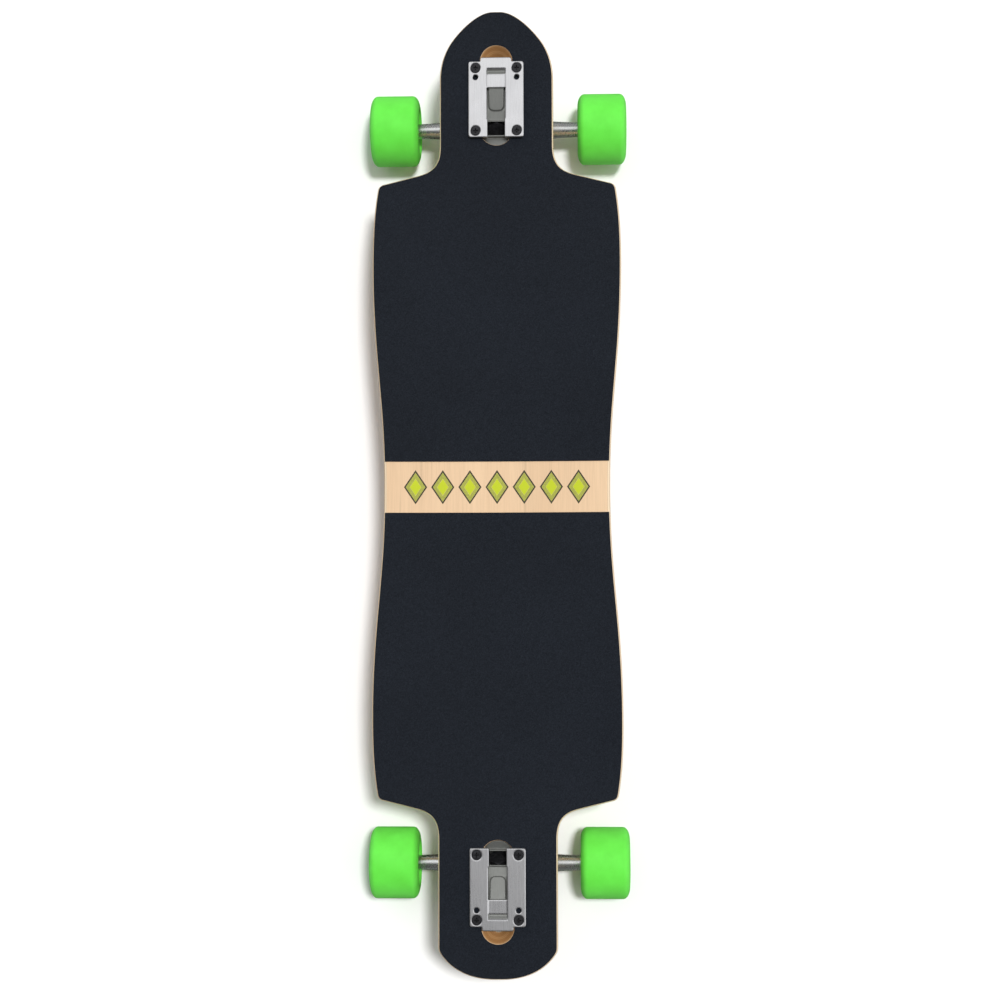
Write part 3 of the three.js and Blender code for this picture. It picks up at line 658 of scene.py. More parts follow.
def evaluated_mesh(made):
    """A plain mesh of an object with its modifiers applied."""
    return bpy.data.meshes.new_from_object(made.evaluated_get(bpy.context.evaluated_depsgraph_get()))


def repeated(tree, source_mesh, **values):
    """The plain mesh that a tree makes from one piece."""
    source = placed("source", source_mesh)
    carrier = placed("carrier", bpy.data.meshes.new("carrier"))
    modifier = carrier.modifiers.new("repeat", "NODES")
    modifier.node_group = tree
    for item in tree.interface.items_tree:
        if item.item_type == "SOCKET" and item.in_out == "INPUT":
            value = source if item.name == "Piece" else values[item.name.lower()]
            modifier[item.identifier] = value
    result = evaluated_mesh(carrier)
    for made in (source, carrier):
        bpy.data.objects.remove(made)
    return result


def mesh_from(verts, faces):
    mesh = bpy.data.meshes.new("shape")
    mesh.from_pydata(verts, [], faces)
    mesh.validate()
    return mesh


def lozenge(width, height, hole_share):
    """A flat diamond, or a diamond ring where it has a hole, cut into strips along X."""
    outer = [(width / 2, 0), (0, height / 2), (-width / 2, 0), (0, -height / 2)]
    if not hole_share:
        return mesh_from([(x, y, 0) for x, y in outer], [(0, 1, 2, 3)])
    inner = [(x * hole_share, y * hole_share) for x, y in outer]
    faces = [(i, (i + 1) % 4, 4 + (i + 1) % 4, 4 + i) for i in range(4)]
    return mesh_from([(x, y, 0) for x, y in outer + inner], faces)


def lay_on_deck(mesh, lift):
    """Drops a flat mesh on the deck's top face, a hair above it."""
    for vert in mesh.vertices:
        x, y, _ = vert.co
        vert.co.z = deck_top + float(concave(x, y)) + lift
    return mesh


olive_ink, ink_tree, ink_shader = finish_of("olive ink", (0.36, 0.37, 0.06), 0.45)
speckle = ramp(ink_tree, noise(ink_tree, scale=900.0), (0.3, (0.3, 0.31, 0.05)), (0.7, (0.42, 0.44, 0.08)))
ink_tree.links.new(speckle, ink_shader.inputs["Base Color"])
dark_ink = finish_of("dark ink", (0.045, 0.045, 0.02), 0.5)[0]
lime_ink = finish_of("lime ink", (0.5, 0.58, 0.02), 0.5)[0]
row = row_tree()
strip_middle = (STRIP_LOW + STRIP_HIGH) / 2
for name, ink, share, hole in (
    ("strip_motif_fill", olive_ink, 0.84, 0.6),
    ("strip_motif_core", lime_ink, 0.49, 0.0),
    ("strip_motif_line", dark_ink, 1.0, 0.85),
):
    shape = lozenge(LOZENGE_WIDTH * share, LOZENGE_HEIGHT * share, hole)
    motif = repeated(row, shape, count=LOZENGES, pitch=LOZENGE_PITCH, finish=ink)
    motif.transform(Matrix.Translation((0, strip_middle, 0)))
    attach(add_piece(name, lay_on_deck(motif, INK_TOP), ink), "board")

# ---------- base plates ----------
# Cast aluminium, machined on top: a flange bolted over the deck's slot, a wedge through the slot
# that holds the kingpin, and a tower that reaches down to the pivot cup.

PLATE_WIDTH = 55 * MM
PLATE_LENGTH = 76.7 * MM
PLATE_CORNER = 2 * MM
TAB_WIDTH = 31 * MM
TAB_LENGTH = 4 * MM
PLATE_BOTTOM = 1.3 * MM
PLATE_TOP = plate_top - deck_top
WEDGE_DEPTH = 10 * MM
WEDGE_REACH = 42 * MM
TOWER_WIDTH = 21 * MM
BOSS_RADIUS = 12 * MM
SEAT_HEIGHT = 22 * MM
SEAT_WALL = 5 * MM
CUP_START = 40 * MM
CUP_END = 51.5 * MM
CUP_RADIUS = 9 * MM
BOSS_END = 55.2 * MM
CHANNEL_WIDTH = 19 * MM
CHANNEL_REACH = 31.3 * MM
GROOVE_MIDDLE = 28.4 * MM
GROOVE_END = 25.5 * MM
GROOVE_DEPTH = 2.2 * MM
RIDGE_DEPTH = 1.5 * MM
PLATEAU_DEPTH = 0.7 * MM
PLATEAU_END = 12 * MM
TONGUE_END = -10 * MM
SADDLE_END = -20 * MM
TONGUE_WIDTH = 15 * MM
TONGUE_DEPTH = 2.5 * MM
TONGUE_DROP = 6.4 * MM
TONGUE_ROUND = 5 * MM
SADDLE_DEPTH = 7.6 * MM
POCKET_DEPTH = 9 * MM
SHELF_DEPTH = 2.5 * MM
WEDGE_GAP = 0.7 * MM
SPARE_HOLE_STEP = 9.5 * MM
SPARE_HOLE_RADIUS = 2.65 * MM
HEAD_POCKET = 17.4 * MM
HEAD_ROOM = 7.6 * MM
HEAD_REACH = 9.84 * MM
HEAD_OPENING_REACH = 9.64 * MM
# Depth under the plate's top below which it is left as cast and painted darker as shade in the recesses.
CAST_AND_PAINTED_SHADE_DEPTH = 1.2 * MM
KINGPIN_RADIUS = 4.76 * MM
BOLT_HEAD_RADIUS = 4.8 * MM
BOLT_HEAD_DEPTH = 2.8 * MM

joints = {joint["name"]: joint for joint in frame["joints"]}


def truck_frame(end):
    """A truck's own axes, with Y outward from the base plate's middle on the deck's top face."""
    turn = 0 if end == "nose" else math.pi
    middle = plate_middle if end == "nose" else -plate_middle
    return Matrix.Translation((0, middle, deck_top)) @ Matrix.Rotation(turn, 4, "Z")


def steering_frame(end):
    """The steering joint's axes: Y up the steering axis and Z up the kingpin."""
    joint = joints[f"{end}_steer"]
    up = Vector(joint["axis"])
    across = Vector((1 if end == "nose" else -1, 0, 0))
    turn = Matrix((across, up, across.cross(up))).transposed()
    return Matrix.Translation(joint["pos_m"]) @ turn.to_4x4()


# The steering frame seen from the truck's own axes is the same at both ends.
steering = truck_frame("nose").inverted() @ steering_frame("nose")


def lathe(profile, segments=64):
    """A body turned about Z from (radius, height) points; one that leaves the axis closes on itself."""
    closed = profile[0][0] > 0 or profile[-1][0] > 0
    verts, rows = [], []
    for radius, height in profile:
        if radius == 0:
            rows.append([len(verts)] * segments)
            verts.append((0, 0, height))
            continue
        rows.append(range(len(verts), len(verts) + segments))
        turns = [2 * math.pi * i / segments for i in range(segments)]
        verts += [(radius * math.cos(a), radius * math.sin(a), height) for a in turns]
    faces = []
    for lower, upper in zip(rows, rows[1:] + rows[:1] if closed else rows[1:]):
        for i in range(segments):
            j = (i + 1) % segments
            corners = dict.fromkeys((lower[i], lower[j], upper[j], upper[i]))
            faces.append(tuple(corners))
    return outward(mesh_from(verts, faces))


def outward(mesh):
    """Merges doubles and turns every face of a closed mesh outward."""
    work = bmesh.new()
    work.from_mesh(mesh)
    bmesh.ops.remove_doubles(work, verts=work.verts, dist=1e-7)
    bmesh.ops.recalc_face_normals(work, faces=work.faces)
    work.to_mesh(mesh)
    work.free()
    return mesh


def rod(radius, low, high, segments=64):
    return lathe([(0, low), (radius, low), (radius, high), (0, high)], segments)


def prism(points, low, high):
    """A flat outline in X and Y made thick along Z."""
    count = len(points)
    verts = [(x, y, z) for z in (low, high) for x, y in points]
    faces = [tuple(reversed(range(count))), tuple(range(count, 2 * count))]
    faces += [(i, (i + 1) % count, count + (i + 1) % count, count + i) for i in range(count)]
    return outward(mesh_from(verts, faces))


def side_slice(points, width):
    """A side view in Y and Z made wide about the middle plane."""
    mesh = prism(points, -width / 2, width / 2)
    return moved(mesh, Matrix(((0, 0, 1, 0), (1, 0, 0, 0), (0, 1, 0, 0), (0, 0, 0, 1))))


def moved(mesh, matrix):
    mesh.transform(matrix)
    return mesh


def block(low, high):
    (x0, y0, z0), (x1, y1, z1) = low, high
    return prism([(x0, y0), (x1, y0), (x1, y1), (x0, y1)], z0, z1)


def rounded_rectangle(width, length, radius, middle_y=0.0, steps=5):
    outline = []
    for quarter, (x, y) in enumerate(((1, 1), (-1, 1), (-1, -1), (1, -1))):
        for i in range(steps + 1):
            angle = math.pi / 2 * (quarter + i / steps)
            outline.append((x * (width / 2 - radius) + radius * math.cos(angle),
                            middle_y + y * (length / 2 - radius) + radius * math.sin(angle)))
    return outline


def carved(mesh, tools, operation="DIFFERENCE"):
    """A mesh after each tool is cut from it, or joined to it."""
    body = placed("blank", mesh)
    for index, tool in enumerate(tools):
        modifier = body.modifiers.new(f"tool {index}", "BOOLEAN")
        modifier.operation = operation
        modifier.solver = "MANIFOLD"
        modifier.object = placed(f"tool {index}", tool)
    result = evaluated_mesh(body)
    for modifier in body.modifiers:
        bpy.data.objects.remove(modifier.object)
    bpy.data.objects.remove(body)
    return result


def soften(mesh, voxel, rounds, keep):
    """Rounds every edge as casting and tumbling do: an even skin, smoothed, then thinned."""
    body = placed("casting", mesh)
    remesh = body.modifiers.new("skin", "REMESH")
    remesh.mode = "VOXEL"
    remesh.voxel_size = voxel
    smooth = body.modifiers.new("smooth", "SMOOTH")
    smooth.factor = 0.5
    smooth.iterations = rounds
    thin = body.modifiers.new("thin", "DECIMATE")
    thin.ratio = keep
    result = evaluated_mesh(body)
    bpy.data.objects.remove(body)
    return result


def along_steering(mesh):
    """A body turned about Z laid along the steering axis, its height counted down that axis."""
    return moved(mesh, Matrix.Rotation(math.pi / 2, 4, "X"))


def steering_point(y, z):
    """A place on the steering frame's middle plane as the truck's Y and Z."""
    place = steering @ Vector((0, y, z))
    return place.y, place.z


def slot_room(gap):
    """The room in a slot, inset by a gap: the straight part, and the outer end that narrows."""
    radius = SLOT_WIDTH / 2 - gap
    outer = SLOT_CENTRE + SLOT_LENGTH / 2 - SLOT_WIDTH / 2
    inner = [(x, y) for x, y in stadium(2 * radius, SLOT_LENGTH - 2 * gap, SLOT_CENTRE) if y < SLOT_CENTRE]
    straight = prism(inner + [(radius, outer - gap), (-radius, outer - gap)], -100 * MM, 10 * MM)
    ramped = lathe([
        (0, -DECK_THICKNESS - 1 * MM), (RAMP_RADIUS - gap, -DECK_THICKNESS - 1 * MM),
        (RAMP_RADIUS - gap, -DECK_THICKNESS), (radius, 0), (radius, 10 * MM), (0, 10 * MM)])
    return straight, moved(ramped, Matrix.Translation((0, outer, 0)))


def base_plate_blank():
    inner_slot = SLOT_CENTRE - SLOT_LENGTH / 2 + WEDGE_GAP
    shelf_edge = 2 * MM - PLATE_LENGTH / 2
    seat_top = steering_point(15.5 * MM, SEAT_HEIGHT)
    flange = prism(rounded_rectangle(PLATE_WIDTH, PLATE_LENGTH, PLATE_CORNER), PLATE_BOTTOM, PLATE_TOP)
    tab_shape = rounded_rectangle(TAB_WIDTH, 2 * TAB_LENGTH + 4 * MM, PLATE_CORNER, PLATE_LENGTH / 2 - 2 * MM)
    wedge = side_slice([
        (WEDGE_REACH, PLATE_BOTTOM + 1 * MM),
        (shelf_edge, PLATE_BOTTOM + 1 * MM),
        (shelf_edge, -2 * SHELF_DEPTH),
        (inner_slot, -SHELF_DEPTH),
        (inner_slot, -DECK_THICKNESS - 8 * MM),
        steering_point(-30 * MM, SEAT_HEIGHT + 2 * MM),
        steering_point(-16 * MM, SEAT_HEIGHT),
        seat_top,
        (0, seat_top[1]),
        (4 * MM, -WEDGE_DEPTH),
        (WEDGE_REACH - 4 * MM, -WEDGE_DEPTH),
        (WEDGE_REACH, 4 * MM - WEDGE_DEPTH),
    ], SLOT_WIDTH)
    tower = side_slice([
        steering_point(-14 * MM, SEAT_HEIGHT),
        (inner_slot, -DECK_THICKNESS - 1 * MM),
        steering_point(-BOSS_END, BOSS_RADIUS * 0.9),
        steering_point(-BOSS_END, 0),
        steering_point(-CUP_START, 0),
        steering_point(-CUP_START, BOSS_RADIUS * 0.9),
        steering_point(6 * MM - CUP_START, BOSS_RADIUS + 3 * MM),
    ], TOWER_WIDTH)
    boss = moved(along_steering(rod(BOSS_RADIUS, CUP_START, BOSS_END)), steering)
    straight, ramped = slot_room(WEDGE_GAP)
    whole = carved(wedge.copy(), [straight], "INTERSECT")
    whole = carved(whole, [carved(wedge, [ramped], "INTERSECT")], "UNION")
    return carved(whole, [flange, prism(tab_shape, PLATE_BOTTOM, PLATE_TOP), tower, boss], "UNION")


def base_plate_cutters():
    above = PLATE_TOP + 5 * MM
    half = CHANNEL_WIDTH / 2

    def strip(start, end, width, depth):
        return block((-width / 2, start, PLATE_TOP - depth), (width / 2, end, above))

    def slant(start, end, start_depth, end_depth):
        return side_slice([(end, above), (end, PLATE_TOP - end_depth), (start, PLATE_TOP - start_depth),
                           (start, above)], CHANNEL_WIDTH)

    def side_groove(side):
        """The groove beside the tongue, which goes round the tongue's inner corner."""
        plan = [(half, PLATEAU_END), (TONGUE_WIDTH / 2, PLATEAU_END)]
        for a in (math.pi / 2 * i / 6 for i in range(7)):
            plan.append((TONGUE_WIDTH / 2 - TONGUE_ROUND * (1 - math.cos(a)),
                         TONGUE_END + TONGUE_ROUND * (1 - math.sin(a))))
        plan.append((half, TONGUE_END))
        return prism([(side * x, y) for x, y in plan], PLATE_TOP - SADDLE_DEPTH, above)

    head_top = SEAT_HEIGHT + SEAT_WALL + HEAD_ROOM
    head_cut = block((-HEAD_POCKET / 2, -HEAD_REACH, SEAT_HEIGHT + SEAT_WALL + 0.2 * MM),
                     (HEAD_POCKET / 2, HEAD_REACH, head_top))
    inner = steering_point(-HEAD_OPENING_REACH, head_top - 1 * MM)
    outer = steering_point(HEAD_OPENING_REACH, head_top - 1 * MM)
    over_head = side_slice([(inner[0], above), inner, outer, (outer[0], above)], HEAD_POCKET)
    cutters = [
        slant(GROOVE_MIDDLE, CHANNEL_REACH, GROOVE_DEPTH, PLATEAU_DEPTH),
        slant(GROOVE_END, GROOVE_MIDDLE, GROOVE_DEPTH, RIDGE_DEPTH),
        strip(PLATEAU_END - 0.1 * MM, GROOVE_END + 0.1 * MM, CHANNEL_WIDTH, PLATEAU_DEPTH),
        slant(TONGUE_END, PLATEAU_END, TONGUE_DROP, TONGUE_DEPTH),
        side_groove(-1),
        side_groove(1),
        slant(SADDLE_END, TONGUE_END, POCKET_DEPTH, SADDLE_DEPTH),
        strip(-PLATE_LENGTH / 2 - 12 * MM, SADDLE_END, HEAD_POCKET, PLATE_TOP - PLATE_BOTTOM + 2 * MM),
        moved(head_cut, steering),
        over_head,
        moved(rod(KINGPIN_RADIUS + 0.3 * MM, 0, 40 * MM), steering),
        moved(along_steering(rod(CUP_RADIUS + 0.1 * MM, CUP_START - 1 * MM, CUP_END + 0.3 * MM)), steering),
    ]
    sunk = BOLT_HEAD_RADIUS + 0.3 * MM
    for x in (-BOLT_ACROSS / 2, BOLT_ACROSS / 2):
        for y in (-BOLT_ALONG / 2, BOLT_ALONG / 2):
            cutters.append(moved(lathe([
                (0, -20 * MM), (BOLT_HOLE, -20 * MM), (BOLT_HOLE, PLATE_TOP - BOLT_HEAD_DEPTH - 0.3 * MM),
                (sunk, PLATE_TOP - 0.3 * MM), (sunk, above), (0, above)], 40), Matrix.Translation((x, y, 0))))
        spare = rod(SPARE_HOLE_RADIUS, -1 * MM, above, 40)
        cutters.append(moved(spare, Matrix.Translation((x, BOLT_ALONG / 2 - SPARE_HOLE_STEP, 0))))
    return cutters


def aluminium_finish(name, color, roughness, stretch, depth, machined_above=-1.0):
    """Bare aluminium with fine marks: long ones where it was brushed, round ones where it was cast.
    Below a level it is left as cast and rougher, and its colour there is painted darker as shade in the
    recesses."""
    material, tree, shader = finish_of(name, color, roughness, 1.0)
    marks = noise(tree, stretch, detail=4.0, Roughness=0.65)
    cloud = noise(tree, scale=55.0, detail=3.0)
    tint = ramp(tree, marks, (0.3, tuple(channel * 0.8 for channel in color)), (0.65, color))
    height = node(tree, "ShaderNodeSeparateXYZ", {0: node(tree, "ShaderNodeTexCoord").outputs["Object"]})
    # Below the level: a rougher, less metallic cast skin, and colour multiplied darker as painted shade in
    # the recesses.
    cast_and_painted_shade = maths(tree, "LESS_THAN", height.outputs["Z"], machined_above)
    tree.links.new(mixed(tree, "MULTIPLY", cast_and_painted_shade, tint, (0.42, 0.43, 0.4)), shader.inputs["Base Color"])
    metallic = maths(tree, "SUBTRACT", 1.0, maths(tree, "MULTIPLY", cast_and_painted_shade, 0.2))
    tree.links.new(metallic, shader.inputs["Metallic"])
    spread = maths(tree, "ADD", maths(tree, "MULTIPLY", marks, 0.22), maths(tree, "MULTIPLY", cloud, 0.16))
    rough = maths(tree, "ADD", maths(tree, "MULTIPLY", cast_and_painted_shade, 0.1), roughness - 0.19)
    tree.links.new(maths(tree, "ADD", spread, rough), shader.inputs["Roughness"])
    bumped(tree, shader, marks, 0.35, depth)
    return material


brushed_aluminium = aluminium_finish("brushed aluminium", (0.86, 0.86, 0.88), 0.3, (2600, 60, 900), 0.00006,
                                      plate_top - CAST_AND_PAINTED_SHADE_DEPTH)
base_plate_mesh = soften(carved(base_plate_blank(), base_plate_cutters()), 0.5 * MM, 2, 0.4)
# Thinning lifts a few points a hair over the machined face.
for vertex in base_plate_mesh.vertices:
    vertex.co.z = min(vertex.co.z, PLATE_TOP)
for end in ("nose", "tail"):
    plate = moved(base_plate_mesh.copy(), truck_frame(end))
    cast = add_piece(f"{end}_cast_plate", plate, brushed_aluminium, 50)
    settle(cast, "board", "cast_aluminium", f"{end}_baseplate")

# ---------- deck bolts and lock nuts ----------
# Black machine screws with cross recesses, sunk flush in the base plate, and black lock nuts with
# nylon collars pulled up against the deck's underside.

BOLT_RADIUS = 2.4 * MM
NUT_ACROSS = 9.5 * MM
NUT_HEIGHT = 5.6 * MM
NUT_GAP = 0.3 * MM
BOLT_TAIL = 1.6 * MM
THREAD_PITCH = 0.8 * MM
RECESS_DEPTH = 2.2 * MM


def thread(radius, low, high, pitch):
    """The profile of a threaded stretch from low to high, as a ring at each turn."""
    turns = max(1, round((high - low) / pitch))
    points = []
    for i in range(turns):
        z = low + (high - low) * i / turns
        points += [(radius - 0.35 * pitch, z), (radius, z + pitch / 2)]
    return points


def cross_recess():
    """The star-shaped driver that cuts a screw's recess."""
    tip, mouth, width = 0.6 * MM, 2.9 * MM, 0.6 * MM
    top, floor = PLATE_TOP + 0.5 * MM, PLATE_TOP - RECESS_DEPTH
    wings = []
    for turn in (0, math.pi / 2):
        wing = side_slice([(-mouth, top), (-tip, floor), (tip, floor), (mouth, top)], 2 * width)
        wings.append(moved(wing, Matrix.Rotation(turn, 4, "Z")))
    return wings


def deck_bolt():
    end = -DECK_THICKNESS - NUT_GAP - NUT_HEIGHT - BOLT_TAIL
    head_edge = PLATE_TOP - 0.45 * MM
    profile = [(0, end), (BOLT_RADIUS - 0.5 * MM, end)]
    profile += thread(BOLT_RADIUS, end + 0.4 * MM, -DECK_THICKNESS, THREAD_PITCH)
    profile += [(BOLT_RADIUS, -DECK_THICKNESS), (BOLT_RADIUS, PLATE_TOP - BOLT_HEAD_DEPTH)]
    profile += [(BOLT_HEAD_RADIUS, head_edge), (BOLT_HEAD_RADIUS, PLATE_TOP - 0.2 * MM)]
    profile += [(BOLT_HEAD_RADIUS - 0.2 * MM, PLATE_TOP - 0.03 * MM), (0, PLATE_TOP)]
    return carved(lathe(profile, 32), cross_recess())


def hexagonal(across, low, high, chamfer):
    """A hexagonal prism with its corners chamfered at both ends."""
    radius = across / math.sqrt(3)
    corners = [(radius * math.sin(math.pi * i / 3), radius * math.cos(math.pi * i / 3)) for i in range(6)]
    face, rim = across / 2 + 0.1 * MM, radius + 0.02 * MM
    cone = lathe([
        (0, low), (face, low), (rim, low + chamfer), (rim, high - chamfer), (face, high), (0, high)], 48)
    return carved(prism(corners, low, high), [cone], "INTERSECT")


def lock_nut(across, low, high, bore):
    """A hexagonal nut with a rounded collar on its low side."""
    collar = (high - low) * 0.28
    body = hexagonal(across, low + collar, high, 0.5 * MM)
    rim = across / 2 - 0.35 * MM
    crown = lathe([
        (0, low), (bore + 0.5 * MM, low), (rim - 0.8 * MM, low), (rim - 0.15 * MM, low + 0.4 * MM),
        (rim, low + collar), (rim, low + collar + 0.5 * MM), (0, low + collar + 0.5 * MM)], 48)
    hole = rod(bore, low - 1 * MM, high + 1 * MM, 32)
    return carved(carved(body, [crown], "UNION"), [hole])


def grid_tree():
    """Four copies at the corners of a rectangle about the origin."""
    tree, given, out = tree_of("bolt pattern", (("Piece", "Object"), ("Across", "Float"), ("Along", "Float"),
                                                ("Finish", "Material")))
    grid = node(tree, "GeometryNodeMeshGrid", {
        "Size X": given["Across"], "Size Y": given["Along"], "Vertices X": 2, "Vertices Y": 2})
    return finish_tree(tree, given, out, grid.outputs["Mesh"])


def metal_finish(name, dark, light, roughness, metallic, scale=400.0):
    """Plated or oxidised steel, a little uneven in colour and gloss."""
    material, tree, shader = finish_of(name, light, roughness, metallic)
    cloud = noise(tree, scale=scale, detail=3.0)
    tree.links.new(ramp(tree, cloud, (0.3, dark), (0.7, light)), shader.inputs["Base Color"])
    spread = maths(tree, "MULTIPLY", cloud, 0.3)
    tree.links.new(maths(tree, "ADD", spread, roughness - 0.15), shader.inputs["Roughness"])
    bumped(tree, shader, cloud, 0.15, 0.00005)
    return material


black_oxide = metal_finish("black oxide", (0.02, 0.02, 0.023), (0.05, 0.05, 0.055), 0.4, 0.7)
pattern = grid_tree()
nut_top = -DECK_THICKNESS - NUT_GAP
nut_mesh = lock_nut(NUT_ACROSS, nut_top - NUT_HEIGHT, nut_top, BOLT_RADIUS + 0.1 * MM)
corners = [f"{depth}_{side}" for depth in ("inner", "outer") for side in ("left", "right")]
for name, shape, cad_name in (("deck_bolts", deck_bolt(), "bolt"), ("deck_lock_nuts", nut_mesh, "lock_nut")):
    one_truck = repeated(pattern, shape, across=BOLT_ACROSS, along=BOLT_ALONG, finish=black_oxide)
    both = joined([moved(one_truck.copy(), truck_frame(end)) for end in ("nose", "tail")])
    nodes = [f"{end}_{cad_name}_{corner}" for end in ("nose", "tail") for corner in corners]
    settle(add_piece(name, both, black_oxide), "board", "black_steel", *nodes)

# ---------- kingpins, washers and bushings ----------
# A black hexagon-headed pin through each base plate carries two urethane bushings between cupped
# washers, with the hanger's ring held between them, and a lock nut at its end.

HEAD_ACROSS = 16 * MM
HEAD_HEIGHT = 6.4 * MM
HEAD_START = 27.3 * MM
RING_HALF = 5 * MM
BUSHING_RADIUS = 14 * MM
BUSHING_BORE = 5.2 * MM
BOARD_BUSHING = (5.3 * MM, 19.9 * MM)
ROAD_BUSHING = (-17.9 * MM, -5.3 * MM)
BOARD_WASHER = 20.2 * MM
ROAD_WASHER = -19.7 * MM
WASHER_RADIUS = 13.4 * MM
WASHER_THICKNESS = 1.5 * MM
KINGPIN_NUT = (-28.5 * MM, -20 * MM)
KINGPIN_NUT_ACROSS = 14.3 * MM
KINGPIN_END = -32.5 * MM
KINGPIN_THREAD_TOP = -15 * MM


def kingpin():
    shank = [(0, KINGPIN_END), (KINGPIN_RADIUS - 0.8 * MM, KINGPIN_END)]
    shank += thread(KINGPIN_RADIUS, KINGPIN_END + 0.6 * MM, KINGPIN_THREAD_TOP, 1.05 * MM)
    shank += [(KINGPIN_RADIUS, KINGPIN_THREAD_TOP), (KINGPIN_RADIUS, HEAD_START + 1 * MM)]
    shank.append((0, HEAD_START + 1 * MM))
    top = HEAD_START + HEAD_HEIGHT
    head = hexagonal(HEAD_ACROSS, HEAD_START, top, 0.9 * MM)
    dimple = rod(4.2 * MM, top - 0.7 * MM, top + 1 * MM)
    return carved(carved(lathe(shank, 40), [head], "UNION"), [dimple])


def bushing(low, high):
    """A barrel of cast urethane with rounded ends and a drawn-in waist."""
    reach, round_off, steps = high - low, 1.2 * MM, 12
    profile = [(BUSHING_BORE, low), (BUSHING_RADIUS - round_off, low)]
    for i in range(steps + 1):
        share = i / steps
        end = min(share, 1 - share) * reach
        corner = max(0.0, round_off - end)
        pulled = 0.5 * MM * math.sin(math.pi * share)
        edge = round_off - math.sqrt(max(0.0, round_off ** 2 - corner ** 2))
        profile.append((BUSHING_RADIUS - pulled - edge, low + reach * share))
    profile += [(BUSHING_RADIUS - round_off, high), (BUSHING_BORE, high)]
    return lathe(profile, 56)


def flat_ring(bore, radius, low, high, edge, segments=64):
    """A flat ring with the edges of its rim taken off."""
    return lathe([
        (bore, low), (radius - edge, low), (radius, low + edge), (radius, high - edge), (radius - edge, high),
        (bore, high)], segments)


def cup_washer(low):
    return flat_ring(KINGPIN_RADIUS + 0.15 * MM, WASHER_RADIUS, low, low + WASHER_THICKNESS, 0.35 * MM, 56)


def urethane_finish(name, dark, light, roughness):
    """Cast urethane: an even colour with a faint cloud and a satin skin."""
    material, tree, shader = finish_of(name, light, roughness, subsurface_weight=0.08)
    shader.inputs["Subsurface Radius"].default_value = (0.004, 0.006, 0.003)
    cloud = noise(tree, scale=60.0, detail=4.0)
    tree.links.new(ramp(tree, cloud, (0.3, dark), (0.7, light)), shader.inputs["Base Color"])
    bumped(tree, shader, noise(tree, scale=1400.0), 0.12, 0.0001)
    return material


bushing_urethane = urethane_finish("bushing urethane", (0.016, 0.017, 0.02), (0.03, 0.032, 0.036), 0.38)
zinc = metal_finish("zinc plate", (0.5, 0.5, 0.5), (0.68, 0.68, 0.69), 0.36, 1.0)
for end in ("nose", "tail"):
    place = steering_frame(end)
    pin = add_piece(f"{end}_steel_kingpin", moved(kingpin(), place), black_oxide)
    settle(pin, "board", "black_steel", f"{end}_kingpin")
    nut = moved(lock_nut(KINGPIN_NUT_ACROSS, *KINGPIN_NUT, KINGPIN_RADIUS + 0.1 * MM), place)
    settle(add_piece(f"{end}_kingpin_lock_nut", nut, zinc), "board", "bright_steel", f"{end}_kingpin_nut")
    for side, low in (("board", BOARD_WASHER), ("road", ROAD_WASHER)):
        washer = add_piece(f"{end}_{side}_cup_washer", moved(cup_washer(low), place), zinc)
        settle(washer, "board", "bright_steel", f"{end}_{side}_washer")
    for side, (low, high) in (("board", BOARD_BUSHING), ("road", ROAD_BUSHING)):
        barrel = add_piece(f"{end}_{side}_barrel", moved(bushing(low, high), place), bushing_urethane)
        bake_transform(barrel)
        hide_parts(f"{end}_{side}_bushing")

# ---------- pivot cups ----------
# A urethane thimble pressed into each base plate's tower takes the end of the hanger.

PIVOT_RADIUS = 6.5 * MM
PIVOT_TIP_RADIUS = 5 * MM
PIVOT_REACH = 49 * MM
PIVOT_GAP = 0.3 * MM


def pivot_cup():
    mouth = PIVOT_RADIUS + PIVOT_GAP
    floor = PIVOT_REACH + PIVOT_GAP
    return along_steering(lathe([
        (mouth, CUP_START), (CUP_RADIUS - 0.4 * MM, CUP_START), (CUP_RADIUS, CUP_START + 0.4 * MM),
        (CUP_RADIUS, CUP_END), (0, CUP_END), (0, floor), (PIVOT_TIP_RADIUS + PIVOT_GAP, floor),
        (mouth, PIVOT_REACH - 5 * MM)], 48))


for end in ("nose", "tail"):
    cup = add_piece(f"{end}_pivot_thimble", moved(pivot_cup(), steering_frame(end)), bushing_urethane)
    settle(cup, "board", "bushing_urethane", f"{end}_pivot_cup")

# ---------- hangers ----------
# Cast aluminium: a ring between the bushings, two tapered arms cast round the axle, webs that join
# them and a round nose that turns in the pivot cup.

AXLE_BACK = 28.3 * MM
AXLE_RAKE = 11.6 * MM
HANGER_HALF = 90 * MM
ARM_END_RADIUS = 7.5 * MM
ARM_ROOT_RADIUS = 9 * MM
GUSSET_HALF = 54 * MM
RING_RADIUS = 17 * MM
RING_BORE = 9 * MM
AXLE_RADIUS = 3.95 * MM


def web_outline():
    """The web's plan, from the ring out to the arms and back."""
    back = -AXLE_BACK
    right = [(RING_RADIUS - 3 * MM, 6 * MM)]
    right += bend([right[0], (RING_RADIUS + 3 * MM, back + 12 * MM), (GUSSET_HALF, back + 5 * MM)])
    right += [(GUSSET_HALF, back - 4 * MM)]
    return right[::-1] + [(-x, y) for x, y in right]


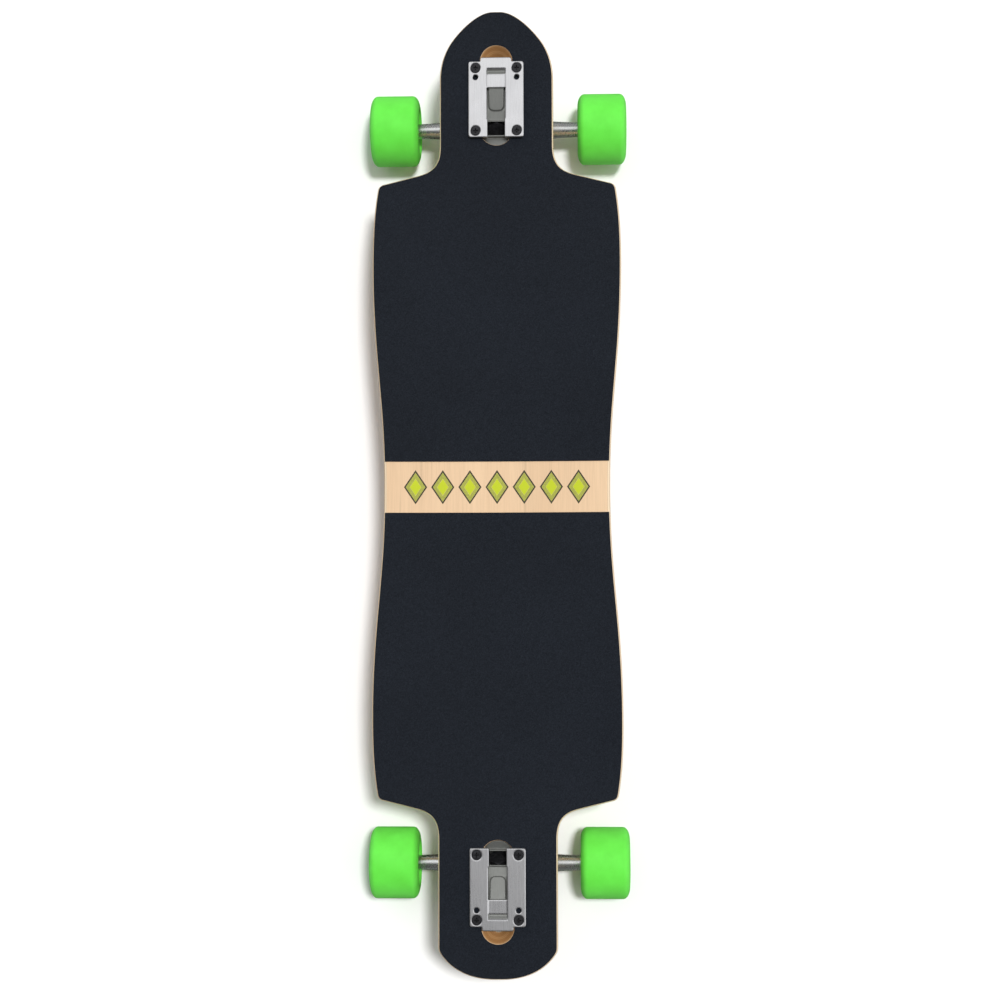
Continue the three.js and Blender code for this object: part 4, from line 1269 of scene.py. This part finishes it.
def hanger():
    across = Matrix.Rotation(math.pi / 2, 4, "Y")
    axle_line = Matrix.Translation((0, -AXLE_BACK, -AXLE_RAKE)) @ across
    arm = lathe([
        (0, -HANGER_HALF), (ARM_END_RADIUS, -HANGER_HALF), (ARM_END_RADIUS, 12 * MM - HANGER_HALF),
        (ARM_ROOT_RADIUS, 4 * MM - GUSSET_HALF), (ARM_ROOT_RADIUS, GUSSET_HALF - 4 * MM),
        (ARM_END_RADIUS, HANGER_HALF - 12 * MM), (ARM_END_RADIUS, HANGER_HALF), (0, HANGER_HALF)])
    ring = rod(RING_RADIUS, -RING_HALF, RING_HALF)
    nose = lathe([
        (0, 8 * MM), (10 * MM, 8 * MM), (BOSS_RADIUS - 1.5 * MM, AXLE_BACK),
        (PIVOT_RADIUS, CUP_START - 1 * MM), (PIVOT_RADIUS, PIVOT_REACH - 5 * MM),
        (PIVOT_TIP_RADIUS, PIVOT_REACH), (0, PIVOT_REACH)])
    tilt = Matrix.Rotation(math.atan2(AXLE_RAKE - 3 * MM, AXLE_BACK), 4, "X")
    web = moved(prism(web_outline(), -4.5 * MM, 4.5 * MM), tilt)
    whole = carved(moved(arm, axle_line), [ring, along_steering(nose), web], "UNION")
    seat = BUSHING_RADIUS + 1 * MM
    skin = soften(carved(whole, [
        rod(RING_BORE, -20 * MM, 20 * MM),
        rod(seat, RING_HALF, 25 * MM),
        rod(seat, -25 * MM, -RING_HALF),
    ]), 0.8 * MM, 4, 0.5)
    bore = moved(rod(AXLE_RADIUS + 0.05 * MM, -HANGER_HALF - 1 * MM, HANGER_HALF + 1 * MM, 40), axle_line)
    return carved(skin, [bore])


cast_aluminium = aluminium_finish("cast aluminium", (0.86, 0.87, 0.87), 0.28, (700, 700, 700), 0.00006)
hanger_mesh = hanger()
for end in ("nose", "tail"):
    cast = moved(hanger_mesh.copy(), steering_frame(end))
    made = add_piece(f"{end}_cast_hanger", cast, cast_aluminium, 60)
    settle(made, f"{end}_steering", "cast_aluminium", f"{end}_hanger")

# ---------- axles, axle nuts and speed washers ----------
# A steel rod cast through each hanger, threaded at both ends. A thin washer stands on each side of
# every wheel's bearings, and a lock nut holds them.

AXLE_HALF = 125 * MM
AXLE_NUT_ACROSS = 12.7 * MM
BEARING_WIDTH = 7 * MM
SPEED_RING_RADIUS = 6.6 * MM
SPEED_RING_GAP = 0.08 * MM
SPEED_GAP = 1 * MM


def axle_middle(end):
    low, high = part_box(f"{end}_axle")
    return (low + high) / 2


def axle():
    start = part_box("nose_right_axle_nut")[0].x - 4 * MM
    right = thread(AXLE_RADIUS, start, AXLE_HALF - 0.6 * MM, 1.0 * MM)
    right += [(AXLE_RADIUS - 0.7 * MM, AXLE_HALF), (0, AXLE_HALF)]
    left = [(radius, -z) for radius, z in reversed(right)]
    return lathe(left + [(AXLE_RADIUS, -start), (AXLE_RADIUS, start)] + right, 40)


def speed_washer():
    return flat_ring(AXLE_RADIUS + 0.05 * MM, SPEED_RING_RADIUS, SPEED_RING_GAP, SPEED_GAP - SPEED_RING_GAP,
                     0.15 * MM, 40)


steel = metal_finish("drawn steel", (0.46, 0.46, 0.47), (0.6, 0.6, 0.61), 0.3, 1.0)
to_x = Matrix.Rotation(math.pi / 2, 4, "Y")
inner_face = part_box("nose_right_inner_bearing")[0].x
outer_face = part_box("nose_right_outer_bearing")[1].x
nut_face, nut_end = (corner.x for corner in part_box("nose_right_axle_nut"))
for end in ("nose", "tail"):
    middle = Matrix.Translation(axle_middle(end))
    body = f"{end}_steering"
    rod_piece = add_piece(f"{end}_axle_rod", moved(axle(), middle @ to_x), steel)
    settle(rod_piece, body, "bright_steel", f"{end}_axle")
    washers = []
    for side, turn in (("right", 0), ("left", math.pi)):
        outward_x = middle @ Matrix.Rotation(turn, 4, "Z") @ to_x
        crown = Matrix.Translation((0, 0, nut_face + nut_end)) @ Matrix.Rotation(math.pi, 4, "X")
        nut = moved(lock_nut(AXLE_NUT_ACROSS, nut_face, nut_end, AXLE_RADIUS + 0.1 * MM), outward_x @ crown)
        settle(add_piece(f"{end}_{side}_lock_nut", nut, zinc), body, "bright_steel", f"{end}_{side}_axle_nut")
        for start in (inner_face - SPEED_GAP, outer_face):
            washers.append(moved(speed_washer(), outward_x @ Matrix.Translation((0, 0, start))))
    rings_piece = add_piece(f"{end}_speed_washers", joined(washers), zinc)
    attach(rings_piece, body)

# ---------- wheels ----------
# Lime urethane cast round a moulded core. The core's hub is ribbed and holds the bearings.

WHEEL_RADIUS = 36 * MM
WHEEL_HALF = 25 * MM
TREAD_HALF = 18 * MM
LIP_DROP = 12 * MM
CORE_RADIUS = 20 * MM
CORE_FACE = 21 * MM
CORE_BORE = 9.3 * MM
HUB_RADIUS = 14 * MM
BEARING_RADIUS = 11 * MM
RIBS = 10

wheel_middle = (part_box("nose_right_wheel")[0].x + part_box("nose_right_wheel")[1].x) / 2
seat_inboard = inner_face - wheel_middle
seat_outboard = outer_face - wheel_middle


def tyre():
    """The urethane: a flat tread, rounded lips and dished faces down to the core."""
    lip = []
    for i in range(9):
        a = math.pi / 2 * i / 8
        lip.append((WHEEL_RADIUS - LIP_DROP * (1 - math.cos(a)),
                    TREAD_HALF + (WHEEL_HALF - TREAD_HALF) * math.sin(a)))
    face = [
        (23.4 * MM, 24.8 * MM), (22.8 * MM, 24.2 * MM), (22.2 * MM, 23 * MM), (21.4 * MM, 22.4 * MM),
        (CORE_RADIUS + 0.02 * MM, 21.4 * MM),
    ]
    side = lip + face
    tread = [(WHEEL_RADIUS, z * MM) for z in (-12, -6, 0, 6, 12)]
    return lathe([(r, -z) for r, z in reversed(side)] + tread + side, 96)


def core():
    """The moulded hub with an annular pocket in each face."""
    half_seat = BEARING_RADIUS + 0.03 * MM
    inner_stop = seat_inboard + BEARING_WIDTH + 0.1 * MM
    outer_stop = seat_outboard - BEARING_WIDTH - 0.1 * MM

    def rim(side):
        return [
            (CORE_RADIUS, side * CORE_FACE), (CORE_RADIUS - 1 * MM, side * (CORE_FACE + 0.3 * MM)),
            (CORE_RADIUS - 1.8 * MM, side * (CORE_FACE - 0.2 * MM)),
            (CORE_RADIUS - 2 * MM, side * (CORE_FACE - 4 * MM)),
            (HUB_RADIUS + 1.6 * MM, side * (CORE_FACE - 4 * MM)),
            (HUB_RADIUS + 1.4 * MM, side * (CORE_FACE - 0.4 * MM)),
            (HUB_RADIUS + 1 * MM, side * CORE_FACE), (HUB_RADIUS + 0.4 * MM, side * (CORE_FACE - 0.3 * MM)),
        ]

    outboard = rim(1) + [(HUB_RADIUS, seat_outboard + 0.6 * MM), (half_seat, seat_outboard + 0.1 * MM)]
    inboard = rim(-1) + [(HUB_RADIUS, seat_inboard - 0.6 * MM), (half_seat, seat_inboard - 0.1 * MM)]
    middle = [
        (half_seat, outer_stop), (CORE_BORE, outer_stop), (CORE_BORE, inner_stop), (half_seat, inner_stop),
    ]
    return lathe(outboard + middle + inboard[::-1], 80)


def rib_mesh():
    """One radial rib across the pocket, on both faces."""
    low, high = HUB_RADIUS + 1 * MM, CORE_RADIUS - 1.5 * MM
    half = 0.9 * MM
    faces = []
    for side in (-1, 1):
        floor, top = sorted((side * (CORE_FACE - 4.5 * MM), side * (CORE_FACE - 0.8 * MM)))
        faces.append(block((low, -half, floor), (high, half, top)))
    return joined(faces)


def ring_tree():
    """Copies turned evenly about Z."""
    tree, given, out = tree_of("ring", (("Piece", "Object"), ("Count", "Int"), ("Finish", "Material")))
    points = node(tree, "GeometryNodePoints", {"Count": given["Count"]})
    index = node(tree, "GeometryNodeInputIndex")
    step = maths(tree, "DIVIDE", 2 * math.pi, given["Count"])
    turn = node(tree, "ShaderNodeCombineXYZ", {"Z": maths(tree, "MULTIPLY", index.outputs[0], step)})
    return finish_tree(tree, given, out, points.outputs["Points"], turn.outputs[0])


def bearing():
    """Two races and a pressed shield set back between them, about its middle."""
    half, bore = BEARING_WIDTH / 2, AXLE_RADIUS + 0.06 * MM
    outer_race = flat_ring(9.6 * MM, BEARING_RADIUS, -half, half, 0.3 * MM)
    inner_race = flat_ring(bore, 6.1 * MM, -half, half, 0.2 * MM, 48)
    shields = []
    for side in (-1, 1):
        face = side * (half - 0.3 * MM)
        shields.append(lathe([
            (6.3 * MM, face - side * 0.4 * MM), (9.7 * MM, face - side * 0.4 * MM), (9.7 * MM, face),
            (9.1 * MM, face), (8.9 * MM, face - side * 0.15 * MM), (7 * MM, face - side * 0.15 * MM),
            (6.8 * MM, face), (6.3 * MM, face)]))
    return joined([outer_race, inner_race] + shields)


lime = urethane_finish("lime urethane", (0.125, 0.74, 0.06), (0.145, 0.82, 0.075), 0.5)
lime_core = urethane_finish("lime core", (0.08, 0.5, 0.04), (0.1, 0.58, 0.05), 0.5)
shield_steel = metal_finish("bearing steel", (0.5, 0.5, 0.52), (0.66, 0.66, 0.68), 0.26, 1.0, 900.0)
tyre_mesh, core_mesh, bearing_mesh = tyre(), core(), bearing()
ribs = repeated(ring_tree(), rib_mesh(), count=RIBS, finish=lime_core)
core_mesh = joined([core_mesh, ribs])
for end in ("nose", "tail"):
    for side in ("left", "right"):
        low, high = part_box(f"{end}_{side}_wheel")
        centre = (low + high) / 2
        turn = to_x if centre.x > 0 else Matrix.Rotation(-math.pi / 2, 4, "Y")
        place = Matrix.Translation(centre) @ turn
        body = f"{end}_{side}_roller"
        wheel = add_piece(f"{end}_{side}_tread", moved(tyre_mesh.copy(), place), lime, 40)
        settle(wheel, body, "wheel_urethane", f"{end}_{side}_wheel")
        hub = add_piece(f"{end}_{side}_core", moved(core_mesh.copy(), place), lime_core)
        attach(hub, body)
        for depth in ("inner", "outer"):
            low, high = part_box(f"{end}_{side}_{depth}_bearing")
            race = moved(bearing_mesh.copy(), Matrix.Translation((low + high) / 2) @ turn)
            made = add_piece(f"{end}_{side}_{depth}_races", race, shield_steel)
            settle(made, body, "bearing_steel", f"{end}_{side}_{depth}_bearing")
        spacer = frame["nodes"][f"{end}_{side}_bearing_spacer"]
        spacer.data.materials.clear()
        spacer.data.materials.append(steel)
